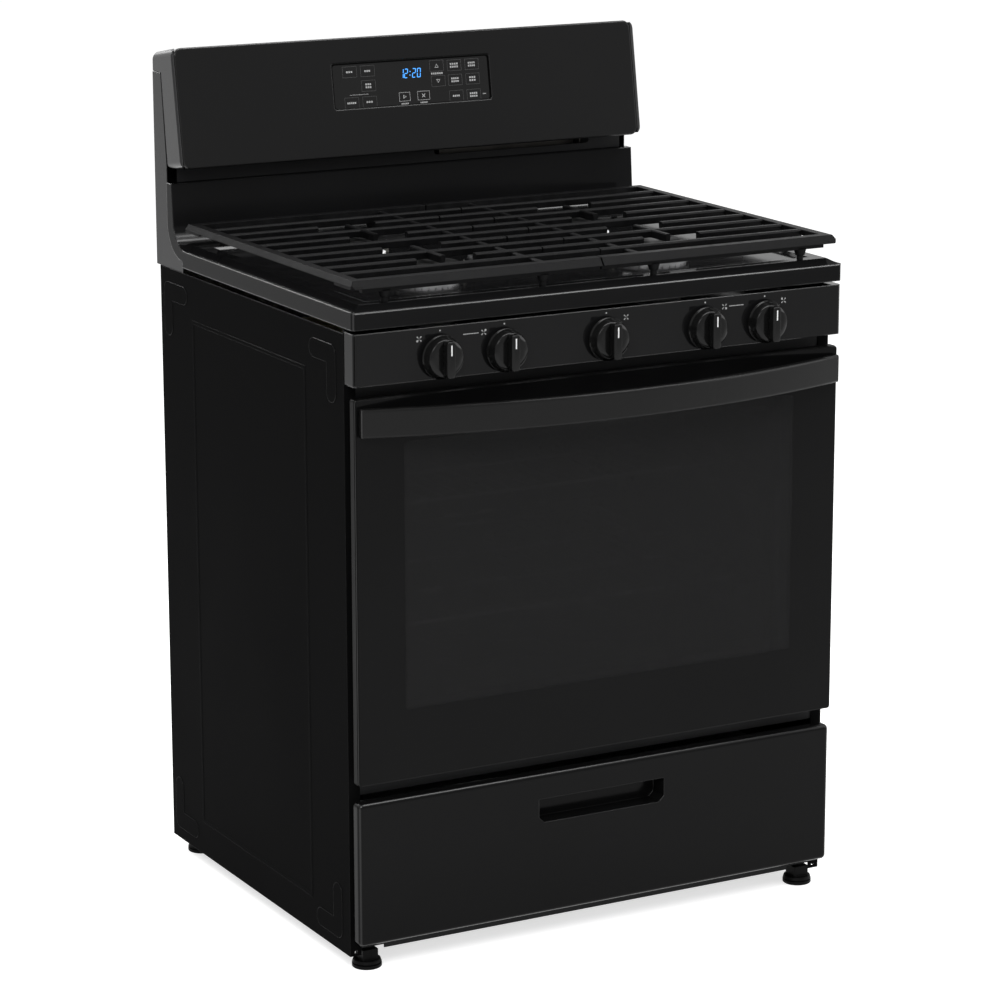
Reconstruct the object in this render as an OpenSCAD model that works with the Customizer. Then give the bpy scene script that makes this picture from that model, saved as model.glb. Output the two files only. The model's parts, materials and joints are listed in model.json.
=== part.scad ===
// Freestanding gas range: upswept cooktop, two cast grates, five burners, drop-down oven
// door, two sliding racks and a storage drawer.
// Origin: on the floor, at the centre of the footprint. +X right, +Y to the rear, +Z up.

/* [Overall] */
// Width over the cooktop
range_w = 759; // [740:1:780]
// Depth from the front of the handle to the rear of the backguard
range_d = 703; // [695:1:715]
// Height of the cooktop rim above the floor
cooktop_h = 912; // [905:1:920]
// Height of the console's top front edge above the floor
console_h = 1196; // [1185:1:1210]

/* [Body] */
// Width over the painted side panels
body_w = 757; // [738:1:757]
// Gap from the floor to the side panels
floor_gap = 20; // [20:1:24]
// Thickness of the sheet steel
sheet = 1.2; // [1:0.1:2]

/* [Oven] */
// Width of the oven cavity
cavity_w = 610; // [580:1:610]
// Height of the oven cavity above its floor panel
cavity_h = 445; // [440:1:450]
// Height of the rack under the middle of the cavity
lower_rack_z = 460; // [440:1:470]
// Height of the upper rack
upper_rack_z = 630; // [600:1:640]

/* [Door] */
// Height of the door
door_h = 528; // [520:1:530]
// Height of the glass window in the door
window_h = 336; // [300:1:340]
// Width of the glass window in the door
window_w = 567; // [540:1:570]
// How far the handle bows forward between its ends
handle_bow = 60; // [50:1:62]
// Height of the handle bar
handle_h = 39; // [34:1:42]

/* [Drawer] */
// Height of the drawer front
drawer_h = 203; // [195:1:204]
// Width of the recessed drawer pull
pull_w = 200; // [160:1:220]
// Height of the recessed drawer pull
pull_h = 34; // [30:1:38]

/* [Cooktop] */
// Height of the grates' cooking surface above the rim
grate_rise = 39; // [34:1:42]
// Distance between neighbouring grate bars
bar_pitch = 50; // [48:1:51]
// Width of a grate bar
bar_w = 10.5; // [8:0.5:12]
// Distance of the side burners from the centre line
burner_x = 177; // [170:1:180]
// Radius of the front right burner
power_burner_r = 58; // [52:1:60]
// Radius of the front left burner
big_burner_r = 51; // [44:1:54]
// Radius of the rear right burner
mid_burner_r = 42; // [36:1:44]
// Radius of the rear left burner
small_burner_r = 34; // [30:1:38]

/* [Controls] */
// Radius of a knob's skirt
knob_r = 30; // [26:0.5:32]
// How far a knob stands in front of the panel
knob_d = 33; // [30:1:40]
// Height of the knobs above the floor
knob_z = 843; // [843:1:845]
// Distance from the centre knob to the inner side knobs
knob_inner_x = 156; // [150:1:160]
// Distance from the centre knob to the outer side knobs
knob_outer_x = 252; // [245:1:258]
// Width of the touch keypad
keypad_w = 258; // [240:1:270]
// Height of the touch keypad, along the console
keypad_h = 67; // [60:1:72]

/* [Hidden] */
$fn = 48;

// Stations along Y, from the front of the handle to the rear of the backguard
rear_y = range_d / 2;
handle_front_y = -range_d / 2;
cooktop_front_y = handle_front_y + 68.5;
door_front_y = cooktop_front_y + 3;
drawer_front_y = cooktop_front_y + 4;
body_front_y = cooktop_front_y + 30.5;
body_rear_y = rear_y - 13;

// Half widths
cooktop_x = range_w / 2;
body_x = body_w / 2;
door_x = body_x - 2.5;

// Heights
body_top = cooktop_h - 32;
skirt_z = cooktop_h - 24;
grate_top = cooktop_h + grate_rise;
panel_bottom = skirt_z - 75;
panel_top = skirt_z - 5;
door_top = panel_bottom - 17;
door_bottom = door_top - door_h;
drawer_top = door_bottom - 24.6;
drawer_bottom = drawer_top - drawer_h;

// Oven cavity
cavity_floor = door_bottom + 50;
cavity_top = cavity_floor + cavity_h;
liner_x = cavity_w / 2;
liner_front = body_front_y + 4.5;
liner_rear = body_rear_y - 52;
liner_bottom = cavity_floor - 30;
ledge_depth = 10;
ledge_z = [for (k = [-1:4]) lower_rack_z + k * (upper_rack_z - lower_rack_z) / 3];

// Door construction
glass_t = 4;
frame_rear_y = door_front_y + 15;
liner_flange_y = frame_rear_y + 1.5;
plug_rear_y = liner_flange_y + 18.5;
plug_x = liner_x - 9;
pivot = [door_front_y + 11, door_bottom + 7];
pin_r = 3.5;
running_gap = 0.05;
hinge_x = 331;

// Drawer construction
drawer_x = door_x;
drawer_skin = 17;
box_x = 335;
box_depth = 412;
box_bottom = drawer_bottom + 22;
box_h = 130;
rail_z = 100;

// Levelling legs
leg_x = 349;
leg_front_y = body_front_y + 9.5;
leg_rear_y = body_rear_y - 35;
stud_r = 5;
stud_top = 56;
bracket_z = 29;

// Cooktop sweep and basin
sweep_r = 38;
sweep_y = rear_y - 101.5;
splash_top = cooktop_h + 91;
splash_top_y = sweep_y + sweep_r + 4;
flange_d = 16;
deck_rise = 7;
deck_z = cooktop_h + deck_rise;
deck_in = 2.3;
deck_run = 14;
basin_depth = 4;
basin_x = cooktop_x - 34.5;
basin_y = [cooktop_front_y + 33, sweep_y - 22];
basin_z = deck_z - basin_depth;

// Burner places: [x, y, radius]
centre_y = -5.5;
burner_row = 2 * bar_pitch;
round_burners = [
    [-burner_x, centre_y - burner_row, big_burner_r],
    [burner_x, centre_y - burner_row, power_burner_r],
    [-burner_x, centre_y + burner_row, small_burner_r],
    [burner_x, centre_y + burner_row, mid_burner_r]];
oval_half = 52;
oval_r = 36;
base_h = 6;
head_h = 8;
cap_h = 5;
cap_z = basin_z + base_h + head_h;

// Grates
grate_x = cooktop_x - 8;
grate_flare = 5;
grate_front = cooktop_front_y + 15;
grate_rear = sweep_y + 1;
rail_w = 13;
rail_h = 8;
rail_deep = 11;
under_rib = 17;
bar_h = 11;
rib_w = 8;
rib_x = 74;
rib_drop = 3.3;
finger_gap = 45;
tooth = 32;
grate_gap = 1.2;

// Knob row
knob_xs = [-knob_outer_x, -knob_inner_x, 0, knob_inner_x, knob_outer_x];
stem_r = 4;
knob_back_y = cooktop_front_y - 4;
valve_y = body_front_y + 4.2;
valve_d = 34;
manifold_y = valve_y + valve_d + 8;
manifold_r = 9;

// Console
console_bottom = console_h - 169;
console_foot_y = rear_y - 91;
console_lean = 9.4;
console_len = 171;
console_x = cooktop_x - 6.5;
plate_t = 7;
keypad_z = 101.5;

// Shared helpers ----------------------------------------------------------------------

// A block between two limits on each axis
module block(x, y, z) {
    translate([x[0], y[0], z[0]]) cube([x[1] - x[0], y[1] - y[0], z[1] - z[0]]);
}

// The same thing on the right and on the left
module both_sides() {
    children();
    mirror([1, 0, 0]) children();
}

// An outline drawn in (y, z), pushed from x0 to x1
module along_x(x0, x1) {
    translate([x0, 0, 0]) rotate([90, 0, 90]) linear_extrude(x1 - x0) children();
}

// An outline drawn in (x, z), pushed from y0 to y1
module along_y(y0, y1) {
    translate([0, y1, 0]) rotate([90, 0, 0]) linear_extrude(y1 - y0) children();
}

// A rectangle with round corners, centred
module round_rect(w, h, r) {
    square([w - 2 * r, h], center = true);
    square([w, h - 2 * r], center = true);
    for (sx = [-1, 1], sy = [-1, 1])
        translate([sx * (w / 2 - r), sy * (h / 2 - r)]) circle(r);
}

// A bar with round ends between two points of a plane
module stadium(a, b, r) {
    length = norm(b - a);
    turn = atan2(b[1] - a[1], b[0] - a[0]);
    translate(a) circle(r);
    translate(b) circle(r);
    translate(a) rotate(turn) translate([0, -r]) square([length, 2 * r]);
}

// A straight round bar between two points
module rod(a, b, r) {
    d = b - a;
    translate(a) rotate([0, acos(d[2] / norm(d)), atan2(d[1], d[0])]) cylinder(h = norm(d), r = r);
}

// A block whose four sides slope: x and y limits at the bottom and at the top
module sloped_block(x_low, y_low, x_high, y_high, z) {
    intersection() {
        along_y(min(y_low[0], y_high[0]), max(y_low[1], y_high[1]))
            polygon([[x_low[0], z[0]], [x_low[1], z[0]], [x_high[1], z[1]], [x_high[0], z[1]]]);
        along_x(min(x_low[0], x_high[0]), max(x_low[1], x_high[1]))
            polygon([[y_low[0], z[0]], [y_low[1], z[0]], [y_high[1], z[1]], [y_high[0], z[1]]]);
    }
}

// Places children on the leaning plane of the console: x across, z up the slope, y = 0 its face
module on_console() {
    translate([0, console_foot_y, console_bottom]) rotate([-console_lean, 0, 0]) children();
}

// Body shell --------------------------------------------------------------------------

pad_w = 26;
pad_reach = 78;
pad_proud = 0.8;
bead_w = 5;

// One L-shaped stiffening pad with its corner at the origin, legs along +y and -z
module corner_pad(rear, low) {
    r = pad_w / 2;
    sy = rear ? -1 : 1;
    sz = low ? 1 : -1;
    corner = [sy * r, sz * r];
    stadium(corner, corner + [sy * (pad_reach - pad_w), 0], r);
    stadium(corner, corner + [0, sz * (pad_reach - pad_w)], r);
}

module side_sheet() {
    flange_w = 17;
    hole_z = floor_gap + 6;
    pad_y = [body_front_y + 23.5, body_rear_y - 13];
    pad_z = [floor_gap + 17, body_top - 20];
    bead_y = [body_front_y + 117, body_rear_y - 111];
    bead_z = [floor_gap + 50, body_top - 63];
    difference() {
        union() {
            block([body_x - sheet, body_x], [body_front_y, body_rear_y], [floor_gap, body_top]);
            block([body_x - flange_w, body_x - sheet], [body_front_y, body_front_y + sheet],
                [floor_gap, body_top]);
            block([body_x - flange_w, body_x - sheet], [body_rear_y - sheet, body_rear_y],
                [floor_gap + 44, body_top]);
        }
        translate([body_x - 9, body_front_y, hole_z]) rotate([90, 0, 0])
            cylinder(h = 4 * sheet, r = 2.2, center = true);
    }
    along_x(body_x, body_x + pad_proud) {
        for (rear = [false, true], low = [false, true])
            translate([pad_y[rear ? 1 : 0], pad_z[low ? 0 : 1]]) corner_pad(rear, low);
    }
    along_x(body_x, body_x + pad_proud / 2) {
        for (y = bead_y) translate([y - bead_w / 2, bead_z[0]]) square([bead_w, bead_z[1] - bead_z[0]]);
        translate([bead_y[0], bead_z[1] - bead_w]) square([bead_y[1] - bead_y[0], bead_w]);
        translate([bead_y[0], bead_z[0]]) square([bead_y[1] - bead_y[0], bead_w]);
    }
}

module right_side_panel() { color([0.05, 0.05, 0.055]) side_sheet(); }
module left_side_panel() { color([0.05, 0.05, 0.055]) mirror([1, 0, 0]) side_sheet(); }

rear_face = body_rear_y - sheet - 0.2;
screw_x = body_x - 28;
screw_zs = [100, 350, 600, 840];
inlet_pos = [-255, 640];
regulator_pos = [262, 150];

module rear_panel() {
    slot_len = 60;
    color([0.55, 0.56, 0.57]) difference() {
        union() {
            block([-body_x + sheet + 0.2, body_x - sheet - 0.2], [rear_face - sheet, rear_face],
                [floor_gap + 44, body_top - 1]);
            for (x = [-220, 0, 220])
                block([x - 12, x + 12], [rear_face - sheet - 4, rear_face - sheet], [260, 800]);
            rod([inlet_pos[0], rear_face - 12, inlet_pos[1]], [inlet_pos[0], rear_face + 4, inlet_pos[1]], 16);
        }
        for (z = [200:24:320], x = [-110, 110])
            translate([x, rear_face, z]) rotate([90, 0, 0])
                linear_extrude(4 * sheet, center = true)
                    stadium([-slot_len / 2, 0], [slot_len / 2, 0], 3);
        translate([inlet_pos[0], rear_face, inlet_pos[1]]) rotate([90, 0, 0])
            cylinder(h = 40, r = 11, center = true);
        translate([regulator_pos[0], rear_face, regulator_pos[1]]) rotate([90, 0, 0])
            cylinder(h = 30, r = 34, center = true);
        for (x = [-screw_x, screw_x], z = screw_zs)
            translate([x, rear_face, z]) rotate([90, 0, 0]) cylinder(h = 6, r = 2.1, center = true);
    }
}

module leg_bracket(y0, y1, leg_y) {
    difference() {
        block([325, body_x - sheet - 0.2], [y0, y1], [bracket_z, bracket_z + 3]);
        translate([leg_x, leg_y, bracket_z]) cylinder(h = 12, r = stud_r + running_gap, center = true);
    }
}

module base_frame() {
    rail_in = 352;
    rail_top = 61;
    outer = body_x - sheet - 0.2;
    color([0.12, 0.12, 0.13]) {
        both_sides() {
            difference() {
                block([rail_in, outer], [body_front_y + 1.7, rear_face - 2 * sheet], [bracket_z, rail_top]);
                block([rail_in + 2, outer + 1], [body_front_y + 42, rear_face - 60],
                    [bracket_z + 2, rail_top - 2]);
                for (y = [leg_front_y, leg_rear_y])
                    translate([leg_x, y, 0]) cylinder(h = 80, r = 12);
            }
            leg_bracket(body_front_y + 1.7, body_front_y + 38, leg_front_y);
            leg_bracket(leg_rear_y - 22, rear_face - 2 * sheet, leg_rear_y);
        }
        block([-326, 326], [body_front_y + 1.7, body_front_y + 3.7], [24, 40]);
        block([-326, 326], [body_front_y + 1.7, body_front_y + 26], [bracket_z, bracket_z + 2]);
        block([-326, 326], [leg_rear_y - 4, leg_rear_y - 1], [bracket_z, rail_top]);
        block([-326, 326], [leg_rear_y - 22, leg_rear_y - 1], [bracket_z, bracket_z + 2]);
    }
}

module front_frame() {
    outer = body_x - sheet - 0.2;
    y = [body_front_y + sheet + 0.2, body_front_y + sheet + 2.2];
    color([0.08, 0.08, 0.085]) difference() {
        block([-outer, outer], y, [drawer_top + 4, skirt_z - 3]);
        for (k = knob_xs)
            translate([k, y[0], knob_z]) rotate([90, 0, 0]) cylinder(h = 10, r = 6.5, center = true);
        block([-liner_x - 10, liner_x + 10], [y[0] - 5, y[1] + 5], [cavity_floor - 12, cavity_top + 12]);
        for (s = [-1, 1])
            block([s * hinge_x - 8, s * hinge_x + 8], [y[0] - 5, y[1] + 5], [pivot[1] - 12, pivot[1] + 12]);
    }
}

// Oven --------------------------------------------------------------------------------

module oven_liner() {
    wall = 1.2;
    flange = 24;
    x = liner_x + wall;
    front = liner_front + 0.2;
    color([0.10, 0.10, 0.12]) {
        difference() {
            union() {
                block([-x, x], [front, liner_rear + wall], [liner_bottom, cavity_top + wall]);
                block([-x - flange, x + flange], [front, front + wall],
                    [liner_bottom - 8, cavity_top + flange]);
            }
            block([-liner_x, liner_x], [front - 1, liner_rear], [liner_bottom + wall, cavity_top]);
            translate([0, liner_rear, cavity_floor - 14]) rotate([90, 0, 0])
                cylinder(h = 10, r = 15, center = true);
            translate([0, liner_rear, cavity_top - 17]) rotate([90, 0, 0])
                cylinder(h = 10, r = 12.5, center = true);
            translate([-210, liner_rear, cavity_top - 62]) rotate([90, 0, 0])
                cylinder(h = 10, r = 17.5, center = true);
            translate([210, liner_rear, cavity_top - 62]) rotate([90, 0, 0])
                cylinder(h = 10, r = 3.5, center = true);
            for (s = [-1, 1])
                block([s * hinge_x - 8, s * hinge_x + 8], [front - 5, front + 5],
                    [pivot[1] - 12, pivot[1] + 12]);
        }
        both_sides() {
            for (z = ledge_z)
                block([liner_x - ledge_depth, liner_x], [liner_front + 30, liner_rear - 20], [z - 8, z - 3.4]);
        }
    }
}

module oven_floor() {
    lip = liner_x - 1;
    color([0.11, 0.11, 0.13]) difference() {
        union() {
            block([-lip, lip], [liner_front + 4, liner_rear - 1], [cavity_floor - 1.5, cavity_floor]);
            both_sides()
                block([lip - 2, lip], [liner_front + 4, liner_rear - 1],
                    [liner_bottom + 1.5, cavity_floor - 1.5]);
        }
        for (s = [-1, 1], y = [-170:48:220])
            translate([s * (lip - 24), y, cavity_floor]) linear_extrude(8, center = true)
                stadium([0, -16], [0, 16], 4);
    }
}

module bake_burner() {
    z = cavity_floor - 14;
    color([0.45, 0.45, 0.46]) {
        rod([0, -150, z], [0, liner_rear + 28, z], 9);
        rod([-190, -60, z], [190, -60, z], 9);
        rod([-190, 110, z], [190, 110, z], 9);
        for (s = [-1, 1]) rod([s * 190, -60, z], [s * 190, 110, z], 9);
    }
}

module broil_burner() {
    z = cavity_top - 17;
    color([0.45, 0.45, 0.46]) {
        rod([0, -150, z], [0, liner_rear + 28, z], 10);
        block([-90, 90], [-150, 150], [z - 15, z - 9.4]);
        for (y = [-120, 120]) block([-6, 6], [y - 10, y + 10], [z + 5, cavity_top]);
    }
}

// A wire shelf: rim wires with fine wires running front to back
module wire_rack(z) {
    x = liner_x - 6.5;
    y = [liner_front + 43, liner_rear - 34];
    rim = 3;
    wire = 1.6;
    pitch = 26;
    color([0.72, 0.72, 0.72]) {
        for (s = [-1, 1]) rod([s * x, y[0], z], [s * x, y[1], z], rim);
        for (e = y) rod([-x, e, z], [x, e, z], rim);
        for (e = [y[0] + 150, y[0] + 300]) rod([-x, e, z], [x, e, z], 2.5);
        for (k = [-11:11])
            rod([k * pitch, y[0], z + rim], [k * pitch, y[1], z + rim], wire);
        for (s = [-1, 1], e = [y[0], y[1]]) translate([s * x, e, z]) sphere(rim, $fn = 24);
        for (s = [-1, 1]) rod([s * (x - 12), y[1], z], [s * (x - 12), y[1], z + 16], 2.5);
        rod([-x + 12, y[1], z + 16], [x - 12, y[1], z + 16], 2.5);
    }
}

module upper_rack() { wire_rack(upper_rack_z); }
module lower_rack() { wire_rack(lower_rack_z); }

module oven_light() {
    color([0.9, 0.88, 0.8]) translate([-210, liner_rear, cavity_top - 62]) {
        rotate([-90, 0, 0]) cylinder(h = 22, r = 17);
        rotate([90, 0, 0]) cylinder(h = 4, r = 24);
        translate([0, -14, 0]) sphere(19);
    }
}

module temperature_sensor() {
    color([0.75, 0.75, 0.76]) translate([210, liner_rear, cavity_top - 62]) {
        rotate([90, 0, 0]) cylinder(h = 90, r = 3);
        rotate([90, 0, 0]) cylinder(h = 1.5, r = 12);
        rotate([-90, 0, 0]) cylinder(h = 18, r = 3);
    }
}

module insulation() {
    t = 24;
    inner = liner_x + 2;
    outer = inner + t;
    y = [liner_front + 6, liner_rear + 2];
    z = [liner_bottom + 2, cavity_top + 2];
    color([0.85, 0.82, 0.55]) {
        both_sides() block([inner, outer], y, z);
        block([-outer, outer], y, [z[1], z[1] + t]);
        difference() {
            block([-outer, outer], [y[1], y[1] + 20], [z[0], z[1] + t]);
            for (hole = [[0, cavity_floor - 14, 16], [0, cavity_top - 17, 16],
                    [-210, cavity_top - 62, 25], [210, cavity_top - 62, 16]])
                translate([hole[0], y[1] + 10, hole[1]]) rotate([90, 0, 0])
                    cylinder(h = 40, r = hole[2], center = true);
            block([50, 310], [y[1] - 1, y[1] + 21], [cavity_top - 30, z[1] + t + 1]);
        }
    }
}

// Sheet-metal chimney from the top of the oven to the vent under the console
module flue_duct() {
    x = [60, 300];
    y = [liner_rear + 22.5, liner_rear + 42.5];
    neck = [cavity_top - 26, cavity_top - 6];
    top = splash_top + 21;
    t = 1.2;
    color([0.6, 0.6, 0.6]) difference() {
        union() {
            block(x, y, [neck[0], top]);
            block(x, [liner_rear + 2, y[0] + 1], neck);
        }
        block([x[0] + t, x[1] - t], [y[0] + t, y[1] - t], [neck[0] + t, top - t]);
        block([x[0] + t, x[1] - t], [liner_rear + 1, y[1] - t], [neck[0] + t, neck[1] - t]);
        block([x[0] + t, x[1] - t], [y[0] - 1, y[1] - t], [splash_top + 3, top - t]);
    }
}

// Cooktop and burners -----------------------------------------------------------------

// The cooktop's side outline: front skirt, flat rim, and the sweep up into the splash panel.
// inset shrinks it inwards by the sheet's thickness
module cooktop_outline(inset) {
    edge_r = 5;
    f = cooktop_front_y + inset;
    top = cooktop_h - inset;
    r = sweep_r + inset;
    low_r = sweep_r + 12;
    low_y = sweep_y + 8;
    low_z = cooktop_h + 35;
    difference() {
        union() {
            translate([f, skirt_z - (inset > 0 ? 1 : 0)])
                square([low_y - f, top - edge_r - skirt_z + (inset > 0 ? 1 : 0)]);
            translate([f + edge_r, skirt_z]) square([low_y - f - edge_r, top - skirt_z]);
            translate([f + edge_r, top - edge_r]) circle(edge_r);
            translate([sweep_y, skirt_z])
                square([sweep_r + inset + 4 + flange_d + (inset > 0 ? 1 : 0), splash_top - skirt_z - inset]);
        }
        // hollow of the sweep in front of the splash panel
        translate([sweep_y, cooktop_h + sweep_r]) circle(r);
        polygon([[sweep_y - 1, cooktop_h + sweep_r], [sweep_y + r, cooktop_h + sweep_r],
            [splash_top_y + inset, splash_top + 1], [sweep_y - 1, splash_top + 1]]);
        // rounded heel behind the sweep
        if (inset == 0) difference() {
            translate([low_y, skirt_z - 1]) square([120, low_z - skirt_z + 1]);
            translate([low_y, low_z]) circle(low_r);
        }
    }
}

// A tall prism with its two front corners rounded in plan
module plan_prism(x, front, r) {
    translate([0, 0, skirt_z - 8]) linear_extrude(splash_top - skirt_z + 20) {
        translate([-x + r, front]) square([2 * (x - r), rear_y - front]);
        translate([-x, front + r]) square([2 * x, rear_y - front - r]);
        for (s = [-1, 1]) translate([s * (x - r), front + r]) circle(r);
    }
}

// The raised middle of the cooktop: sloping sides all round, and a back edge that runs into the sweep
module deck_block(inset, low, high, back) {
    x = cooktop_x - deck_in - inset;
    y = cooktop_front_y + deck_in + inset;
    rear = sweep_y + 20 + back;
    sloped_block([-x, x], [y, rear], [-x + deck_run, x - deck_run], [y + deck_run, rear], [low, high]);
}

module cooktop() {
    corner = 6;
    clear = cooktop_x - sheet;
    wall = 1.4;
    slope = 5;
    color([0.05, 0.05, 0.055]) {
        difference() {
            union() {
                difference() {
                    intersection() {
                        along_x(-cooktop_x, cooktop_x) cooktop_outline(0);
                        plan_prism(cooktop_x, cooktop_front_y, corner);
                    }
                    intersection() {
                        along_x(-clear, clear) cooktop_outline(sheet);
                        plan_prism(clear, cooktop_front_y + sheet, corner - sheet);
                    }
                }
                deck_block(0, cooktop_h - 1, deck_z, 3.5);
            }
            deck_block(sheet, cooktop_h - 1 - sheet, deck_z - sheet, 0);
            block([-basin_x, basin_x], basin_y, [skirt_z - 5, deck_z + 5]);
        }
        difference() {
            sloped_block([-basin_x + slope - wall, basin_x - slope + wall],
                [basin_y[0] + slope - wall, basin_y[1] - slope + wall],
                [-basin_x - wall, basin_x + wall], [basin_y[0] - wall, basin_y[1] + wall],
                [basin_z - wall, deck_z - 0.1]);
            sloped_block([-basin_x + slope, basin_x - slope], [basin_y[0] + slope, basin_y[1] - slope],
                [-basin_x, basin_x], [basin_y[0], basin_y[1]], [basin_z, deck_z]);
            for (b = round_burners)
                translate([b[0], b[1], basin_z]) cylinder(h = 9, r = b[2] - 14, center = true);
            translate([0, centre_y, basin_z]) linear_extrude(9, center = true)
                stadium([0, -oval_half], [0, oval_half], oval_r - 14);
        }
    }
}

module burner_bases() {
    color([0.78, 0.78, 0.79]) {
        for (b = round_burners) translate([b[0], b[1], basin_z]) {
            cylinder(h = 4, r = b[2]);
            translate([0, 0, 4]) cylinder(h = base_h - 4, r1 = b[2] - 2, r2 = b[2] - 8, $fn = 96);
            translate([0, 0, -24]) cylinder(h = 24.5, r = b[2] - 16);
        }
        translate([0, centre_y, basin_z]) {
            linear_extrude(4) stadium([0, -oval_half], [0, oval_half], oval_r);
            linear_extrude(base_h) stadium([0, -oval_half], [0, oval_half], oval_r - 5);
            translate([0, 0, -24]) linear_extrude(24.5) stadium([0, -oval_half], [0, oval_half], oval_r - 16);
        }
    }
}

// A ring of flame ports, cut as slots in the wall of a burner head
module port_slots(r, count) {
    for (k = [0:count - 1])
        rotate(k * 360 / count) translate([r - 5, -1.1, 3]) cube([8, 2.2, head_h - 5]);
}

module burner_heads() {
    z = basin_z + base_h;
    color([0.72, 0.72, 0.73]) {
        for (b = round_burners) translate([b[0], b[1], z]) difference() {
            cylinder(h = head_h, r = b[2] - 9);
            translate([0, 0, 3]) cylinder(h = head_h, r = b[2] - 16);
            port_slots(b[2] - 9, 28);
        }
        translate([0, centre_y, z]) difference() {
            linear_extrude(head_h) stadium([0, -oval_half], [0, oval_half], oval_r - 6);
            translate([0, 0, 3]) linear_extrude(head_h) stadium([0, -oval_half], [0, oval_half], oval_r - 13);
            for (s = [-1, 1], k = [-6:6])
                translate([s * (oval_r - 6) - 5, k * 8 - 1.1, 3]) cube([10, 2.2, head_h - 5]);
        }
    }
}

// A burner cap: a low dome with a rounded rim
module round_cap(r) {
    rim = 2.4;
    rotate_extrude() {
        square([r - rim, cap_h]);
        translate([0, 0]) square([r, cap_h - rim]);
        translate([r - rim, cap_h - rim]) circle(rim);
    }
    cylinder(h = cap_h + 1.5, r = r - 12);
}

module round_caps() {
    color([0.04, 0.04, 0.04])
        for (b = round_burners) translate([b[0], b[1], cap_z]) round_cap(b[2] - 5);
}

module oval_cap() {
    color([0.04, 0.04, 0.04]) translate([0, centre_y, cap_z]) {
        linear_extrude(cap_h - 2) stadium([0, -oval_half], [0, oval_half], oval_r - 3);
        linear_extrude(cap_h) stadium([0, -oval_half], [0, oval_half], oval_r - 5);
        linear_extrude(cap_h + 1.5) stadium([0, -oval_half], [0, oval_half], oval_r - 16);
    }
}

module igniters() {
    color([0.9, 0.9, 0.86]) {
        for (b = round_burners) {
            s = b[0] < 0 ? 1 : -1;
            translate([b[0] + s * (b[2] + 5), b[1], basin_z]) {
                cylinder(h = 15, r = 3.5);
                cylinder(h = 18, r = 1);
            }
        }
        translate([0, centre_y + oval_half + oval_r + 6, basin_z]) {
            cylinder(h = 15, r = 3.5);
            cylinder(h = 18, r = 1);
        }
    }
}

// One straight bar of a grate between x0 and x1, centred on y, with its top at z
module grate_bar(x0, x1, y, z) {
    w = bar_w / 2;
    along_x(x0, x1) translate([y, z])
        polygon([[-w + 2.2, 0], [w - 2.2, 0], [w, -2.2], [w - 1.4, -bar_h], [1.4 - w, -bar_h], [-w, -2.2]]);
}

// A narrower bar laid along Y
module grate_rib(y0, y1, x, z) {
    w = rib_w / 2;
    along_y(y0, y1) translate([x, z])
        polygon([[-w + 1.5, 0], [w - 1.5, 0], [w, -1.5], [w - 1, -bar_h], [1 - w, -bar_h], [-w, -1.5]]);
}

// A stub that stands on the cooktop, flanged where it meets the rail
module grate_foot(x, y) {
    low = grate_top - under_rib;
    translate([x, y, deck_z]) cylinder(h = low + 1 - deck_z, r = 4.5);
    translate([x, y, low - 8]) cylinder(h = 9, r1 = 6.5, r2 = 9);
}

// The left grate covers the side rail, both end rails up to the middle, long bars that reach
// past the middle and short fingers that stop beside the burners. reach is how far its long
// bars pass the middle, and short how far its fingers stop before it
module grate(reach, short) {
    z = [grate_top - rail_h, grate_top];
    deep = grate_top - rail_deep;
    out_low = grate_x + grate_flare;
    in_x = grate_x - rail_w;
    flare = 6;
    rows = [for (k = [-4:4]) k];
    difference() {
        union() {
            // side rail, with a deep block at each end
            sloped_block([-out_low, -in_x], [grate_front - flare, grate_rear + 2],
                [-grate_x, -in_x], [grate_front, grate_rear], z);
            sloped_block([-out_low, -in_x], [grate_front - 8, grate_front + 45],
                [-grate_x, -in_x], [grate_front, grate_front + 45], [deep, grate_top]);
            sloped_block([-out_low, -in_x], [grate_rear - 45, grate_rear + 2],
                [-grate_x, -in_x], [grate_rear - 45, grate_rear], [deep, grate_top]);
            // front and rear rails
            sloped_block([-out_low, -grate_gap], [grate_front - 8, grate_front + rail_w],
                [-grate_x, -grate_gap], [grate_front, grate_front + rail_w], [deep, grate_top]);
            sloped_block([-out_low, -grate_gap], [grate_rear - rail_w, grate_rear + 2],
                [-grate_x, -grate_gap], [grate_rear - rail_w, grate_rear], [deep, grate_top]);
        }
        // clipped front corner
        translate([-out_low, grate_front - 8, 0]) rotate([0, 0, 45])
            cube([8, 8, 3 * grate_top], center = true);
    }
    // stiffening rib under the front and rear rails
    for (y = [grate_front, grate_rear - 8])
        block([-grate_x + 14, -grate_gap], [y, y + 8], [grate_top - under_rib, deep + 1]);
    for (k = rows) {
        y = centre_y + k * bar_pitch;
        if (k % 2 == 0) {
            grate_bar(-in_x - 1, reach, y, grate_top);
        } else {
            grate_bar(-in_x - 1, -burner_x - finger_gap, y, grate_top);
            grate_bar(-burner_x + finger_gap, -short, y, grate_top);
        }
    }
    grate_rib(grate_front + rail_w - 1, grate_rear - rail_w + 1, -rib_x, grate_top - rib_drop);
    for (s = [-1, 1])
        grate_rib(centre_y + s * burner_row - finger_gap, centre_y + s * burner_row + finger_gap,
            -burner_x, grate_top);
    for (x = [-in_x + 36, -rib_x - 12]) {
        grate_foot(x, grate_front + 6);
        grate_foot(x, grate_rear - 6.5);
    }
}

module left_grate() {
    color([0.07, 0.07, 0.072]) grate(tooth, tooth - 2);
}

module right_grate() {
    color([0.07, 0.07, 0.072]) mirror([1, 0, 0]) grate(2 * grate_gap - tooth - 4.4, 2.4 - tooth + 2);
}

// Controls and gas --------------------------------------------------------------------

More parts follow.
